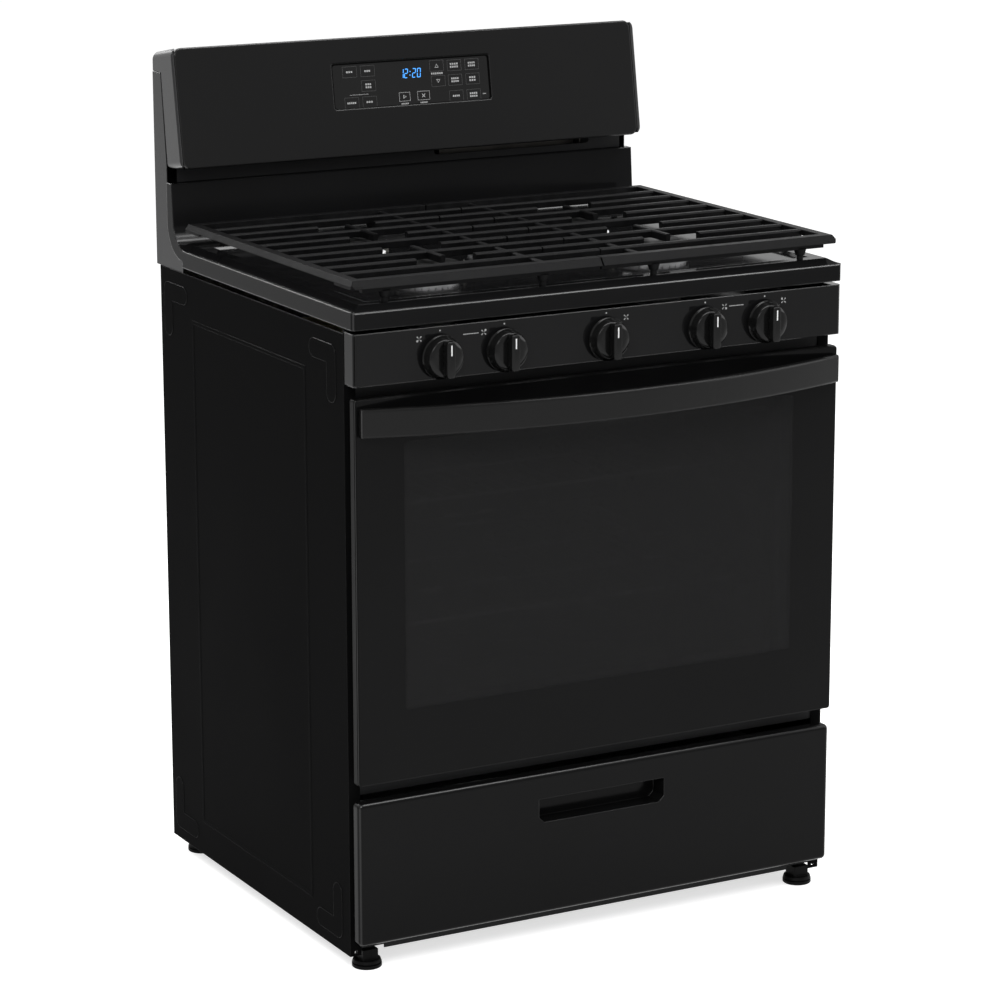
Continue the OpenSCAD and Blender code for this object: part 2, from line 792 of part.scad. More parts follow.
module control_panel() {
    depth = body_front_y - cooktop_front_y - 2;
    edge_r = 5;
    x = body_x - 0.5;
    color([0.05, 0.05, 0.055]) difference() {
        translate([0, cooktop_front_y, panel_bottom]) linear_extrude(panel_top - panel_bottom) {
            translate([-x + edge_r, 0]) square([2 * (x - edge_r), depth]);
            translate([-x, edge_r]) square([2 * x, depth - edge_r]);
            for (s = [-1, 1]) translate([s * (x - edge_r), edge_r]) circle(edge_r);
        }
        block([-x + sheet, x - sheet], [cooktop_front_y + sheet, body_front_y + 1],
            [panel_bottom + sheet, panel_top - sheet]);
        for (k = knob_xs)
            translate([k, cooktop_front_y, knob_z]) rotate([90, 0, 0])
                cylinder(h = 10, r = 6.5, center = true);
    }
}

module gas_manifold() {
    z = knob_z;
    side = 352;
    back = rear_face - 22;
    color([0.5, 0.5, 0.5]) {
        rod([-300, manifold_y, z], [side, manifold_y, z], manifold_r);
        translate([side, manifold_y, z]) sphere(manifold_r);
        rod([side, manifold_y, z], [side, back, z], manifold_r);
        translate([side, back, z]) sphere(manifold_r);
        rod([side, back, regulator_pos[1]], [side, back, z], manifold_r);
        translate([side, back, regulator_pos[1]]) sphere(manifold_r);
        rod([regulator_pos[0] + 29, back, regulator_pos[1]], [side, back, regulator_pos[1]], manifold_r);
    }
}

module gas_valves() {
    color([0.72, 0.6, 0.35]) for (x = knob_xs) difference() {
        union() {
            block([x - 12, x + 12], [valve_y, valve_y + valve_d], [knob_z - 13, knob_z + 13]);
            rod([x, manifold_y, knob_z], [x, valve_y, knob_z], 9);
            rod([x, valve_y + 20, knob_z + 10], [x, valve_y + 20, knob_z + 30], 6);
        }
        translate([x, valve_y + 26, knob_z]) rotate([90, 0, 0])
            cylinder(h = 60, r = stem_r + running_gap);
        translate([x, manifold_y, knob_z]) rotate([0, 90, 0])
            cylinder(h = 60, r = manifold_r, center = true);
    }
}

// Valve shaft, with a flat at the knob's end
module valve_stem(x) {
    tip = knob_back_y - 16;
    color([0.75, 0.75, 0.76]) difference() {
        rod([x, tip, knob_z], [x, valve_y + 25, knob_z], stem_r);
        block([x - 5, x + 5], [tip - 1, knob_back_y + 5.5], [knob_z + 2.2, knob_z + 5]);
    }
}

module knob(x) {
    front = cooktop_front_y - knob_d;
    skirt_t = 3;
    body_y = knob_back_y - skirt_t;
    disc_y = knob_back_y - 16;
    disc_r = knob_r - 5.5;
    color([0.035, 0.035, 0.037]) difference() {
        translate([x, 0, knob_z]) {
            translate([0, knob_back_y, 0]) rotate([90, 0, 0]) cylinder(h = skirt_t, r = knob_r, $fn = 96);
            translate([0, body_y, 0]) rotate([90, 0, 0])
                cylinder(h = body_y - disc_y, r1 = knob_r - 0.8, r2 = disc_r, $fn = 96);
            along_y(front, disc_y + 1) round_rect(13.2, 2 * disc_r, 4);
        }
        difference() {
            rod([x, knob_back_y - 21, knob_z], [x, knob_back_y + 1, knob_z], stem_r + running_gap);
            block([x - 5, x + 5], [knob_back_y - 22, knob_back_y + 2],
                [knob_z + 2.2 + running_gap, knob_z + 6]);
        }
    }
}

module valve_stem_1() { valve_stem(knob_xs[0]); }
module valve_stem_2() { valve_stem(knob_xs[1]); }
module valve_stem_3() { valve_stem(knob_xs[2]); }
module valve_stem_4() { valve_stem(knob_xs[3]); }
module valve_stem_5() { valve_stem(knob_xs[4]); }
module knob_1() { knob(knob_xs[0]); }
module knob_2() { knob(knob_xs[1]); }
module knob_3() { knob(knob_xs[2]); }
module knob_4() { knob(knob_xs[3]); }
module knob_5() { knob(knob_xs[4]); }

module pressure_regulator() {
    p = [regulator_pos[0], rear_face - 22, regulator_pos[1]];
    color([0.6, 0.6, 0.62]) translate(p) difference() {
        union() {
            translate([0, 0, -20]) cylinder(h = 34, r = 27);
            translate([0, 0, 14]) cylinder(h = 10, r = 14);
            rotate([-90, 0, 0]) cylinder(h = 28, r = 15);
            rotate([0, 90, 0]) cylinder(h = 29, r = 11);
        }
        rotate([-90, 0, 0]) translate([0, 0, 8]) cylinder(h = 21, r = 9.3);
    }
}

// Console and backguard ---------------------------------------------------------------

module console_panel() {
    corner = 12;
    color([0.05, 0.05, 0.055]) on_console() difference() {
        union() {
            translate([0, 0, console_len / 2]) {
                along_y(1.2, plate_t) round_rect(2 * console_x, console_len, corner);
                along_y(0, 1.2) round_rect(2 * console_x - 2.4, console_len - 2.4, corner - 1.2);
            }
        }
        translate([0, 0, keypad_z]) along_y(-1, plate_t + 1) round_rect(keypad_w, keypad_h, 4);
    }
}

module keypad() {
    color([0.03, 0.03, 0.035]) on_console() translate([0, 0, keypad_z])
        along_y(1.6, 5) round_rect(keypad_w - 0.4, keypad_h - 0.4, 3.8);
}

module control_board() {
    color([0.10, 0.30, 0.16]) on_console() translate([0, 0, keypad_z]) {
        block([-120, 120], [18, 19.6], [-38, 38]);
        block([-34, 26], [5.2, 18], [0, 24]);
        for (x = [-110, 104]) block([x, x + 6], [5.2, 18], [-30, 30]);
    }
}

// Side view of an end cap, from a line set back behind the console's face to the wall
module end_cap_outline(set_back) {
    edge = 4;
    back_y = console_foot_y + 46;
    shelf_z = console_bottom + 131;
    front = console_foot_y + set_back + 2;
    top_y = console_foot_y + set_back + console_len * sin(console_lean) + 4;
    top_z = console_bottom + console_len * cos(console_lean) - 2;
    translate([console_foot_y, console_bottom]) rotate(-console_lean) {
        translate([set_back, edge]) square([16, console_len - 2 * edge]);
        translate([set_back + edge, 0]) square([16 - edge, console_len]);
        for (z = [edge, console_len - edge]) translate([set_back + edge, z]) circle(edge);
    }
    polygon([[front, console_bottom - 0.5], [top_y, top_z], [rear_y, console_bottom + 157],
        [rear_y, shelf_z], [back_y + 17, shelf_z], [back_y, console_bottom - 2]]);
}

module end_cap() {
    inner = console_x - 6;
    skin = console_x + 0.2;
    outer = console_x + 4.5;
    r = 12;
    color([0.055, 0.055, 0.06]) difference() {
        union() {
            along_x(inner, skin + 0.5) end_cap_outline(plate_t + 1.2);
            along_x(skin, outer) end_cap_outline(0);
        }
        // rounded outer corners, top and bottom
        on_console() along_y(-3, 110) difference() {
            for (z = [-8, console_len - r]) translate([outer - r, z]) square([r + 2, r + 8]);
            for (z = [r, console_len - r]) translate([outer - r, z]) circle(r);
        }
    }
}

module right_end_cap() { end_cap(); }
module left_end_cap() { mirror([1, 0, 0]) end_cap(); }

// Dimples in the rear sheet that take the screw heads below its surface
dimple_xs = [-300, -100, 100, 300];
dimple_z = body_top + 25;
dimple_depth = 3.4;

module backguard_cover() {
    wall = 1.2;
    x = console_x - 6.2;
    outer = body_x - 0.5;
    low_y = sweep_y + 8;
    low_z = cooktop_h + 35;
    shelf_z = console_bottom + 130.5;
    top_z = console_bottom + 156.5;
    color([0.06, 0.06, 0.065]) {
        // rear sheet with its dimples, and the sloping top
        difference() {
            union() {
                block([-outer, outer], [rear_y - wall, rear_y], [body_top + 0.3, shelf_z]);
                for (x = dimple_xs)
                    rod([x, rear_y - dimple_depth - wall, dimple_z], [x, rear_y - wall / 2, dimple_z], 8);
            }
            for (x = dimple_xs) {
                rod([x, rear_y - dimple_depth, dimple_z], [x, rear_y + 1, dimple_z], 6.6);
                rod([x, rear_y - 8, dimple_z], [x, rear_y, dimple_z], 2.1);
            }
        }
        block([-x, x], [rear_y - wall, rear_y], [shelf_z, top_z - 0.5]);
        along_x(-x, x) polygon([[console_foot_y + 37, console_bottom + 162.7],
            [rear_y, top_z], [rear_y, top_z - wall], [console_foot_y + 37, console_bottom + 161.5]]);
        // side sheets behind the cooktop's sweep
        both_sides() along_x(outer - wall, outer) difference() {
            polygon([[low_y + 1.2, body_top + 0.3], [rear_y - wall, body_top + 0.3],
                [rear_y - wall, shelf_z], [console_foot_y + 63.5, shelf_z],
                [console_foot_y + 48.5, console_bottom - 3], [low_y + 51.5, console_bottom - 3],
                [low_y + 51.5, low_z], [low_y + 1.2, low_z]]);
            translate([low_y, low_z]) circle(sweep_r + 13);
        }
        // inner shelf that carries the console, and the floor behind the splash panel
        block([-x, x], [console_foot_y + 49, rear_y - wall], [console_bottom - 2, console_bottom - 0.8]);
        block([-outer + wall, outer - wall], [rear_y - 18, rear_y - wall],
            [body_top + 0.3, body_top + 0.3 + wall]);
    }
}

module vent_trim() {
    y = [console_foot_y + 42, console_foot_y + 44];
    color([0.04, 0.04, 0.042]) difference() {
        block([-console_x + 8, console_x - 8], y, [splash_top + 0.3, console_bottom + 4]);
        translate([0, y[0], splash_top + 15.5]) rotate([90, 0, 0])
            linear_extrude(12, center = true) stadium([53, 0], [306, 0], 5);
    }
}

// Door --------------------------------------------------------------------------------

door_mid_z = (door_bottom + door_top) / 2;

module door_glass() {
    edge = 1;
    color([0.02, 0.02, 0.025]) translate([0, 0, door_mid_z]) {
        along_y(door_front_y + edge, door_front_y + glass_t)
            round_rect(2 * door_x - 1, door_h - 1, 4);
        along_y(door_front_y, door_front_y + edge)
            round_rect(2 * door_x - 1 - 2 * edge, door_h - 1 - 2 * edge, 3);
    }
}

module door_frame() {
    wall = 1.5;
    y = [door_front_y + glass_t, frame_rear_y];
    color([0.045, 0.045, 0.05]) difference() {
        translate([0, 0, door_mid_z]) difference() {
            along_y(y[0], y[1]) round_rect(2 * door_x, door_h, 4);
            along_y(y[0] - 1, y[1] + 1) round_rect(2 * (door_x - wall), door_h - 2 * wall, 3);
        }
        for (x = [-260, -205, -150, 120, 175, 230])
            block([x, x + 40], [y[0] + 4, y[1] - 3], [door_top - 5, door_top + 1]);
        for (s = [-1, 1])
            block([s * hinge_x - 6, s * hinge_x + 6], [y[0] - 1, y[1] + 1], [door_bottom - 1, door_bottom + 5]);
    }
}

module door_liner() {
    wall = 1.4;
    z_mid = (cavity_floor + cavity_top) / 2;
    plug_h = cavity_h - 21;
    win_z = door_top - 81 - window_h / 2;
    hollow = plug_rear_y - wall;
    color([0.12, 0.12, 0.13]) difference() {
        union() {
            translate([0, 0, door_mid_z])
                along_y(frame_rear_y, liner_flange_y) round_rect(2 * door_x - 5, door_h - 5, 4);
            translate([0, 0, z_mid]) along_y(liner_flange_y - 0.5, plug_rear_y)
                round_rect(2 * plug_x, plug_h, 14);
        }
        translate([0, 0, z_mid]) along_y(frame_rear_y - 1, hollow)
            round_rect(2 * (plug_x - wall), plug_h - 2 * wall, 12.6);
        translate([0, 0, win_z]) along_y(hollow - 1, plug_rear_y + 1) round_rect(window_w, window_h, 10);
        for (s = [-1, 1])
            block([s * hinge_x - 8, s * hinge_x + 8], [frame_rear_y - 1, liner_flange_y + 1],
                [door_bottom - 1, pivot[1] + 9]);
    }
}

module window_glass() {
    win_z = door_top - 81 - window_h / 2;
    back = plug_rear_y - 1.5;
    color([0.05, 0.05, 0.06, 0.5]) translate([0, 0, win_z])
        along_y(back - 4, back) round_rect(window_w + 18, window_h + 18, 8);
}

// Radius of the bow, from its height over the half chord
half_chord = door_x - 5;
bow_r = (half_chord * half_chord + handle_bow * handle_bow) / (2 * handle_bow);
bar_t = 12;

// Cross-section of the bar, with its edges eased; origin at the rear lower corner
module bar_section(t, h) {
    polygon([[3, 0], [t - 3, 0], [t - 0.9, 0.9], [t, 3], [t, h - 3], [t - 0.9, h - 0.9],
        [t - 3, h], [3, h], [0.9, h - 0.9], [0, h - 3], [0, 3], [0.9, 0.9]]);
}

module door_handle() {
    z0 = door_top - 50;
    end_w = 15;
    angle = asin(half_chord / bow_r) + 1;
    color([0.03, 0.03, 0.033]) intersection() {
        union() {
            translate([0, handle_front_y + bow_r, z0]) rotate([0, 0, 270 - angle])
                rotate_extrude(angle = 2 * angle, $fn = 360)
                    translate([bow_r - bar_t, 0]) bar_section(bar_t, handle_h);
            // end blocks that stand on the glass
            both_sides() block([half_chord - end_w, half_chord + 5], [door_front_y - 9, door_front_y + 5],
                [z0 + 4, z0 + handle_h - 4]);
        }
        block([-half_chord, half_chord], [handle_front_y - 10, door_front_y], [z0 - 5, z0 + handle_h + 5]);
    }
}

// Hinge body inside the door: two cheeks joined by the pin and a web
module door_hinges() {
    y = [door_front_y + glass_t + 0.4, frame_rear_y - 0.4];
    top = door_bottom + 130;
    color([0.5, 0.5, 0.5]) both_sides() {
        for (x = [hinge_x - 7.5, hinge_x + 5])
            block([x, x + 2.5], y, [door_bottom + 2, top]);
        rod([hinge_x - 7, pivot[0], pivot[1]], [hinge_x + 7, pivot[0], pivot[1]], pin_r);
        block([hinge_x - 7.5, hinge_x + 7.5], [y[0], y[0] + 2], [pivot[1] + 30, top]);
    }
}

// Arm that hooks into the body and carries the hinge pin
module hinge_arms() {
    thick = 4;
    tip = body_front_y + 34;
    color([0.55, 0.55, 0.55]) both_sides() {
        along_x(hinge_x - thick / 2, hinge_x + thick / 2) difference() {
            union() {
                translate(pivot) circle(6);
                translate([pivot[0], pivot[1] - 6]) square([tip - pivot[0], 12]);
                translate([tip - 10, pivot[1] - 10]) square([10, 16]);
            }
            translate(pivot) circle(pin_r + running_gap);
        }
        difference() {
            block([hinge_x - 7, hinge_x + 7], [body_front_y + 8, tip + 4], [pivot[1] - 11, pivot[1] + 11]);
            block([hinge_x - 4, hinge_x + 4], [body_front_y + 12, tip], [pivot[1] - 10.2, pivot[1] + 20]);
        }
    }
}

module door_gasket() {
    r = 6;
    y = liner_flange_y + r + 0.3;
    x = liner_x + 18;
    z = [cavity_floor - 22, cavity_top + 18];
    color([0.08, 0.08, 0.08]) {
        for (e = z) rod([-x, y, e], [x, y, e], r);
        for (s = [-1, 1]) rod([s * x, y, z[0]], [s * x, y, z[1]], r);
        for (s = [-1, 1], e = z) translate([s * x, y, e]) sphere(r);
    }
}

// Drawer ------------------------------------------------------------------------------

// Block with round front edges and corners, as a pressed panel has
module pressed_panel(x, y, z, r) {
    block([-x + r, x - r], [y[0], y[1]], [z[0] + r, z[1] - r]);
    block([-x, x], [y[0] + r, y[1]], [z[0] + r, z[1] - r]);
    block([-x + r, x - r], [y[0] + r, y[1]], [z[0], z[1]]);
    for (s = [-1, 1]) {
        rod([s * (x - r), y[0] + r, z[0] + r], [s * (x - r), y[0] + r, z[1] - r], r);
        for (e = [z[0] + r, z[1] - r]) {
            translate([s * (x - r), y[0] + r, e]) sphere(r);
            rod([s * (x - r), y[0] + r, e], [s * (x - r), y[1], e], r);
        }
    }
    for (e = [z[0] + r, z[1] - r]) rod([-x + r, y[0] + r, e], [x - r, y[0] + r, e], r);
}

pull_z = drawer_top - 53.5;

// Outline of the finger recess: square on top, clipped below
module pull_outline(grow) {
    w = pull_w / 2 + grow;
    h = pull_h / 2 + grow;
    clip = 8;
    polygon([[-w, h], [w, h], [w, -h + clip], [w - clip, -h], [-w + clip, -h], [-w, -h + clip]]);
}

// Finger scoop: a curved hollow that rises behind the sheet, starting at depth front
module drawer_front() {
    r = 7;
    wall = 1.5;
    y = [drawer_front_y, drawer_front_y + drawer_skin];
    z = [drawer_bottom, drawer_top];
    cup = 30;
    color([0.05, 0.05, 0.055]) difference() {
        union() {
            difference() {
                pressed_panel(drawer_x, y, z, r);
                pressed_panel(drawer_x - wall, [y[0] + wall, y[1] + 1], [z[0] + wall, z[1] - wall], r - wall);
            }
            translate([0, 0, pull_z]) along_y(y[0] + 1, y[0] + cup) pull_outline(wall);
        }
        translate([0, 0, pull_z]) along_y(y[0] - 1, y[0] + cup - wall) pull_outline(0);
    }
}

module drawer_box() {
    wall = 1.5;
    y = [drawer_front_y + drawer_skin, drawer_front_y + drawer_skin + box_depth];
    z = [box_bottom, box_bottom + box_h];
    lip = 14;
    color([0.35, 0.36, 0.37]) {
        difference() {
            block([-box_x, box_x], y, z);
            block([-box_x + wall, box_x - wall], [y[0] + wall, y[1] - wall], [z[0] + wall, z[1] + 1]);
            block([-pull_w / 2 - 4, pull_w / 2 + 4], [y[0] - 1, y[0] + 40],
                [pull_z - pull_h / 2 - 4, pull_z + pull_h / 2 + 9]);
        }
        both_sides() block([box_x, box_x + lip], [y[0] + 6, y[1]], [rail_z + 0.3, rail_z + 0.3 + wall]);
    }
}

module drawer_rails() {
    foot = 61;
    web = 352;
    y = [body_front_y + 6, rear_face - 60];
    color([0.6, 0.6, 0.61]) both_sides() {
        block([web, web + 1.5], y, [foot, rail_z]);
        block([box_x + 3, web + 1.5], y, [rail_z - 1.5, rail_z]);
        block([web, body_x - sheet - 0.2], y, [foot, foot + 1.5]);
    }
}

// Feet and fasteners ------------------------------------------------------------------

module leg(x, y) {
    flat = 23;
    color([0.06, 0.06, 0.06]) translate([x, y, 0]) {
        cylinder(h = 1, r1 = 19.5, r2 = 20.5, $fn = 96);
        translate([0, 0, 1]) cylinder(h = 4, r = 20.5, $fn = 96);
        translate([0, 0, 5]) cylinder(h = 2, r = 17.5, $fn = 96);
        translate([0, 0, 7]) cylinder(h = 4, r1 = 20.3, r2 = 18.8, $fn = 96);
        translate([-flat / 2, -flat / 2, 11]) cube([flat, flat, 15]);
        translate([0, 0, 26]) cylinder(h = stud_top - 26, r = stud_r);
    }
}

module front_left_leg() { leg(-leg_x, leg_front_y); }
module front_right_leg() { leg(leg_x, leg_front_y); }
module rear_left_leg() { leg(-leg_x, leg_rear_y); }
module rear_right_leg() { leg(leg_x, leg_rear_y); }

module screw_head() {
    rotate([-90, 0, 0]) difference() {
        union() {
            cylinder(h = 2.2, r = 4.5);
            translate([0, 0, -4]) cylinder(h = 4.5, r = 1.9);
        }
        translate([0, 0, 1.2]) cylinder(h = 2, r = 2.6, $fn = 6);
    }
}

module screws() {
    color([0.7, 0.7, 0.7]) {
        for (x = [-screw_x, screw_x], z = screw_zs) translate([x, rear_face, z]) screw_head();
        for (x = dimple_xs) translate([x, rear_y - dimple_depth, dimple_z]) screw_head();
    }
}

left_side_panel();
right_side_panel();
rear_panel();
base_frame();
front_frame();
oven_liner();
oven_floor();
bake_burner();
broil_burner();
upper_rack();
lower_rack();
oven_light();
temperature_sensor();
insulation();
flue_duct();
cooktop();
burner_bases();
burner_heads();
round_caps();
oval_cap();
igniters();
left_grate();
right_grate();
control_panel();
gas_manifold();
gas_valves();
pressure_regulator();
valve_stem_1();
valve_stem_2();
valve_stem_3();
valve_stem_4();
valve_stem_5();
knob_1();
knob_2();
knob_3();
knob_4();
knob_5();
console_panel();
left_end_cap();
right_end_cap();
backguard_cover();
keypad();
control_board();
vent_trim();
door_glass();
door_frame();
door_liner();
window_glass();
door_handle();
door_hinges();
hinge_arms();
door_gasket();
drawer_front();
drawer_box();
drawer_rails();
front_left_leg();
front_right_leg();
rear_left_leg();
rear_right_leg();
screws();
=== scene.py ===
import json
import math

import bmesh
import bpy
from mathutils import Matrix, Vector


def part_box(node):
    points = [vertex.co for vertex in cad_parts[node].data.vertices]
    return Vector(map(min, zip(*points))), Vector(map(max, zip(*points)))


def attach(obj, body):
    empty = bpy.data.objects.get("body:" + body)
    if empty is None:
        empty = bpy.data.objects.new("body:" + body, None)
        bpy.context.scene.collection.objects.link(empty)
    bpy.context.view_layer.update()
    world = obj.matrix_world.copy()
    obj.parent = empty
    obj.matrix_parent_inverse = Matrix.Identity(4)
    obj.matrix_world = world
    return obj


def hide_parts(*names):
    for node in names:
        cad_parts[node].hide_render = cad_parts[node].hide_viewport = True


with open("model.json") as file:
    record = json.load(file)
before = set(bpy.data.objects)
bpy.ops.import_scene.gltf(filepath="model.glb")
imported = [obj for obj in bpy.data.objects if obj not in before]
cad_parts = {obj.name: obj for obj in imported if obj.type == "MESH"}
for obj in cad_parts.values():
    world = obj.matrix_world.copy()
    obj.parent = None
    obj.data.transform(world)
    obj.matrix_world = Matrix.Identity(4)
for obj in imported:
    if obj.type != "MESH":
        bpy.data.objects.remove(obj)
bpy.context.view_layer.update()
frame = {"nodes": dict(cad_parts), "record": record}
nodes = frame["nodes"]
scene = bpy.context.scene


# ---------------------------------------------------------------- materials

def new_material(name):
    m = bpy.data.materials.new(name)
    m.use_nodes = True
    nt = m.node_tree
    shader = nt.nodes["Principled BSDF"]
    return m, nt, shader


def put(shader, **values):
    for key, value in values.items():
        shader.inputs[key.replace("_", " ")].default_value = value


def noise(nt, scale, detail=3.0, rough=0.55, stretch=(1, 1, 1)):
    coord = nt.nodes.new("ShaderNodeTexCoord")
    place = nt.nodes.new("ShaderNodeMapping")
    place.inputs["Scale"].default_value = stretch
    tex = nt.nodes.new("ShaderNodeTexNoise")
    tex.inputs["Scale"].default_value = scale
    tex.inputs["Detail"].default_value = detail
    tex.inputs["Roughness"].default_value = rough
    nt.links.new(coord.outputs["Object"], place.inputs["Vector"])
    nt.links.new(place.outputs["Vector"], tex.inputs["Vector"])
    return tex


def spread(nt, source, low, high, a=0.35, b=0.65):
    """Maps a 0..1 texture value to the range low..high."""
    r = nt.nodes.new("ShaderNodeMapRange")
    r.inputs["From Min"].default_value = a
    r.inputs["From Max"].default_value = b
    r.inputs["To Min"].default_value = low
    r.inputs["To Max"].default_value = high
    nt.links.new(source, r.inputs["Value"])
    return r.outputs["Result"]


def tint(nt, source, c0, c1, a=0.35, b=0.65):
    ramp = nt.nodes.new("ShaderNodeValToRGB")
    ramp.color_ramp.elements[0].position = a
    ramp.color_ramp.elements[1].position = b
    ramp.color_ramp.elements[0].color = (*c0, 1)
    ramp.color_ramp.elements[1].color = (*c1, 1)
    nt.links.new(source, ramp.inputs["Fac"])
    return ramp.outputs["Color"]


def relief(nt, shader, source, strength, distance, edge=0.0):
    """Fine surface relief, on normals softened at the edges."""
    bump = nt.nodes.new("ShaderNodeBump")
    bump.inputs["Strength"].default_value = strength
    bump.inputs["Distance"].default_value = distance
    nt.links.new(source, bump.inputs["Height"])
    if edge:
        bevel = nt.nodes.new("ShaderNodeBevel")
        bevel.samples = 4
        bevel.inputs["Radius"].default_value = edge
        nt.links.new(bevel.outputs["Normal"], bump.inputs["Normal"])
    nt.links.new(bump.outputs["Normal"], shader.inputs["Normal"])


def roll_gloss(nt, shader, radius, weight, level_edges=False):
    """Heavier gloss where a sheet rolls over its edge. The coat's weight follows how far the
    softened normal, in the object's own axes, is from all three of them. level_edges leaves
    upright corners out."""
    bevel = nt.nodes.new("ShaderNodeBevel")
    bevel.samples = 6
    bevel.inputs["Radius"].default_value = radius
    turn = nt.nodes.new("ShaderNodeVectorTransform")
    turn.vector_type = "NORMAL"
    turn.convert_from, turn.convert_to = "WORLD", "OBJECT"
    size = nt.nodes.new("ShaderNodeVectorMath")
    size.operation = "ABSOLUTE"
    parts = nt.nodes.new("ShaderNodeSeparateXYZ")
    nt.links.new(bevel.outputs["Normal"], turn.inputs["Vector"])
    nt.links.new(turn.outputs["Vector"], size.inputs[0])
    nt.links.new(size.outputs["Vector"], parts.inputs["Vector"])
    first = nt.nodes.new("ShaderNodeMath")
    second = nt.nodes.new("ShaderNodeMath")
    first.operation = second.operation = "MAXIMUM"
    nt.links.new(parts.outputs["X"], first.inputs[0])
    nt.links.new(parts.outputs["Y"], first.inputs[1])
    nt.links.new(first.outputs["Value"], second.inputs[0])
    nt.links.new(parts.outputs["Z"], second.inputs[1])
    gloss = spread(nt, second.outputs["Value"], weight, 0.0, 0.79, 0.866)
    if level_edges:
        both = nt.nodes.new("ShaderNodeMath")
        both.operation = "MULTIPLY"
        nt.links.new(gloss, both.inputs[0])
        nt.links.new(spread(nt, parts.outputs["Z"], 0.0, 1.0, 0.15, 0.4), both.inputs[1])
        gloss = both.outputs["Value"]
    nt.links.new(gloss, shader.inputs["Coat Weight"])
    nt.links.new(bevel.outputs["Normal"], shader.inputs["Coat Normal"])
    shader.inputs["Coat Roughness"].default_value = 0.16


def surface(name, colour, rough, metal=0.0, level=0.5, vary=0.12, scale=6.0, grain=400.0,
            strength=0.15, distance=0.0002, edge=0.001, coat=0.0, stretch=(1, 1, 1), speck=None,
            roll=0.0, level_edges=False):
    """A painted, plastic or metal surface: colour that drifts broadly, fine relief, soft edges."""
    m, nt, s = new_material(name)
    put(s, Metallic=metal, Specular_IOR_Level=level, Coat_Weight=coat, Coat_Roughness=0.04)
    broad = noise(nt, scale, 4.0)
    dark = tuple(c * (1 - vary) for c in colour)
    light = tuple(min(1.0, c * (1 + vary)) for c in colour)
    out = tint(nt, broad.outputs["Fac"], dark, light)
    fine = noise(nt, grain, 2.0, stretch=stretch)
    if speck:
        dots = noise(nt, 1400.0, 1.0)
        mask = spread(nt, dots.outputs["Fac"], 0.0, 1.0, 0.70, 0.74)
        mix = nt.nodes.new("ShaderNodeMix")
        mix.data_type = "RGBA"
        nt.links.new(mask, mix.inputs["Factor"])
        nt.links.new(out, mix.inputs["A"])
        mix.inputs["B"].default_value = (*speck, 1)
        out = mix.outputs["Result"]
    nt.links.new(out, s.inputs["Base Color"])
    worn = spread(nt, broad.outputs["Fac"], rough * 0.88, rough * 1.12)
    nt.links.new(worn, s.inputs["Roughness"])
    relief(nt, s, fine.outputs["Fac"], strength, distance, edge)
    if roll:
        roll_gloss(nt, s, edge, roll, level_edges)
    return m


M = {}


def add(name, colour, rough, **look):
    M[name] = surface(name, colour, rough, **look)


add("side_paint", (0.0034, 0.0034, 0.0035), 0.46, level=0.003, vary=0.15, scale=3, grain=260,
    strength=0.10, distance=0.0002, edge=0.0015, roll=0.35)
add("frame_paint", (0.005, 0.005, 0.0054), 0.5, level=0.12, grain=500, strength=0.2)
add("cooktop_enamel", (0.0045, 0.0045, 0.0047), 0.10, level=0.045, vary=0.10, scale=4, grain=90,
    strength=0.04, distance=0.0004, edge=0.0028, roll=0.7)
add("panel_enamel", (0.0045, 0.0045, 0.0047), 0.045, level=0.10, vary=0.08, scale=4, grain=120,
    strength=0.03, distance=0.0003, edge=0.0025, roll=1.0, level_edges=True)
add("oven_enamel", (0.014, 0.015, 0.019), 0.28, level=0.4, grain=150, strength=0.1,
    speck=(0.22, 0.23, 0.27), edge=0.004)
add("grate_iron", (0.0034, 0.0034, 0.0036), 0.45, level=0.055, vary=0.25, scale=60, grain=1300,
    strength=0.45, distance=0.0003, edge=0.0016)
add("cap_enamel", (0.008, 0.008, 0.008), 0.36, level=0.25, vary=0.2, scale=40, grain=1500,
    strength=0.25, distance=0.0002, edge=0.0012)
add("burner_aluminium", (0.92, 0.92, 0.93), 0.36, metal=0.25, vary=0.08, scale=30, grain=700,
    strength=0.2, distance=0.0002, edge=0.0008)
add("pipe_aluminium", (0.6, 0.6, 0.61), 0.42, metal=1.0, scale=25, grain=900, strength=0.25)
add("burner_steel", (0.32, 0.30, 0.28), 0.45, metal=1.0, vary=0.2, scale=14, grain=800,
    strength=0.2)
add("duct_steel", (0.05, 0.047, 0.043), 0.55, metal=1.0, vary=0.3, scale=20, grain=700,
    strength=0.2)
add("rack_wire", (0.66, 0.66, 0.66), 0.26, metal=1.0, vary=0.06, scale=30, grain=900, strength=0.1,
    edge=0)
add("stem_steel", (0.6, 0.6, 0.6), 0.3, metal=1.0, grain=900, strength=0.15, stretch=(1, 0.1, 1))
add("screw_steel", (0.62, 0.62, 0.6), 0.34, metal=1.0, scale=90, grain=1400, strength=0.15,
    edge=0.0004)
add("hinge_steel", (0.5, 0.5, 0.5), 0.4, metal=1.0, scale=40, grain=900, strength=0.15)
add("valve_brass", (0.62, 0.47, 0.24), 0.36, metal=1.0, scale=60, grain=900, strength=0.2)
add("knob_plastic", (0.0042, 0.0042, 0.0042), 0.10, level=0.14, vary=0.1, scale=30, grain=1800,
    strength=0.12, distance=0.0001, edge=0)
add("console_gloss", (0.0046, 0.0046, 0.0047), 0.10, level=0.12, vary=0.06, scale=3, grain=100,
    strength=0.02, distance=0.0003, edge=0.0024, roll=0.9)
add("cap_plastic", (0.006, 0.006, 0.0065), 0.24, level=0.32, vary=0.1, scale=20, grain=1400,
    strength=0.10, distance=0.0001, edge=0.002, roll=0.8)
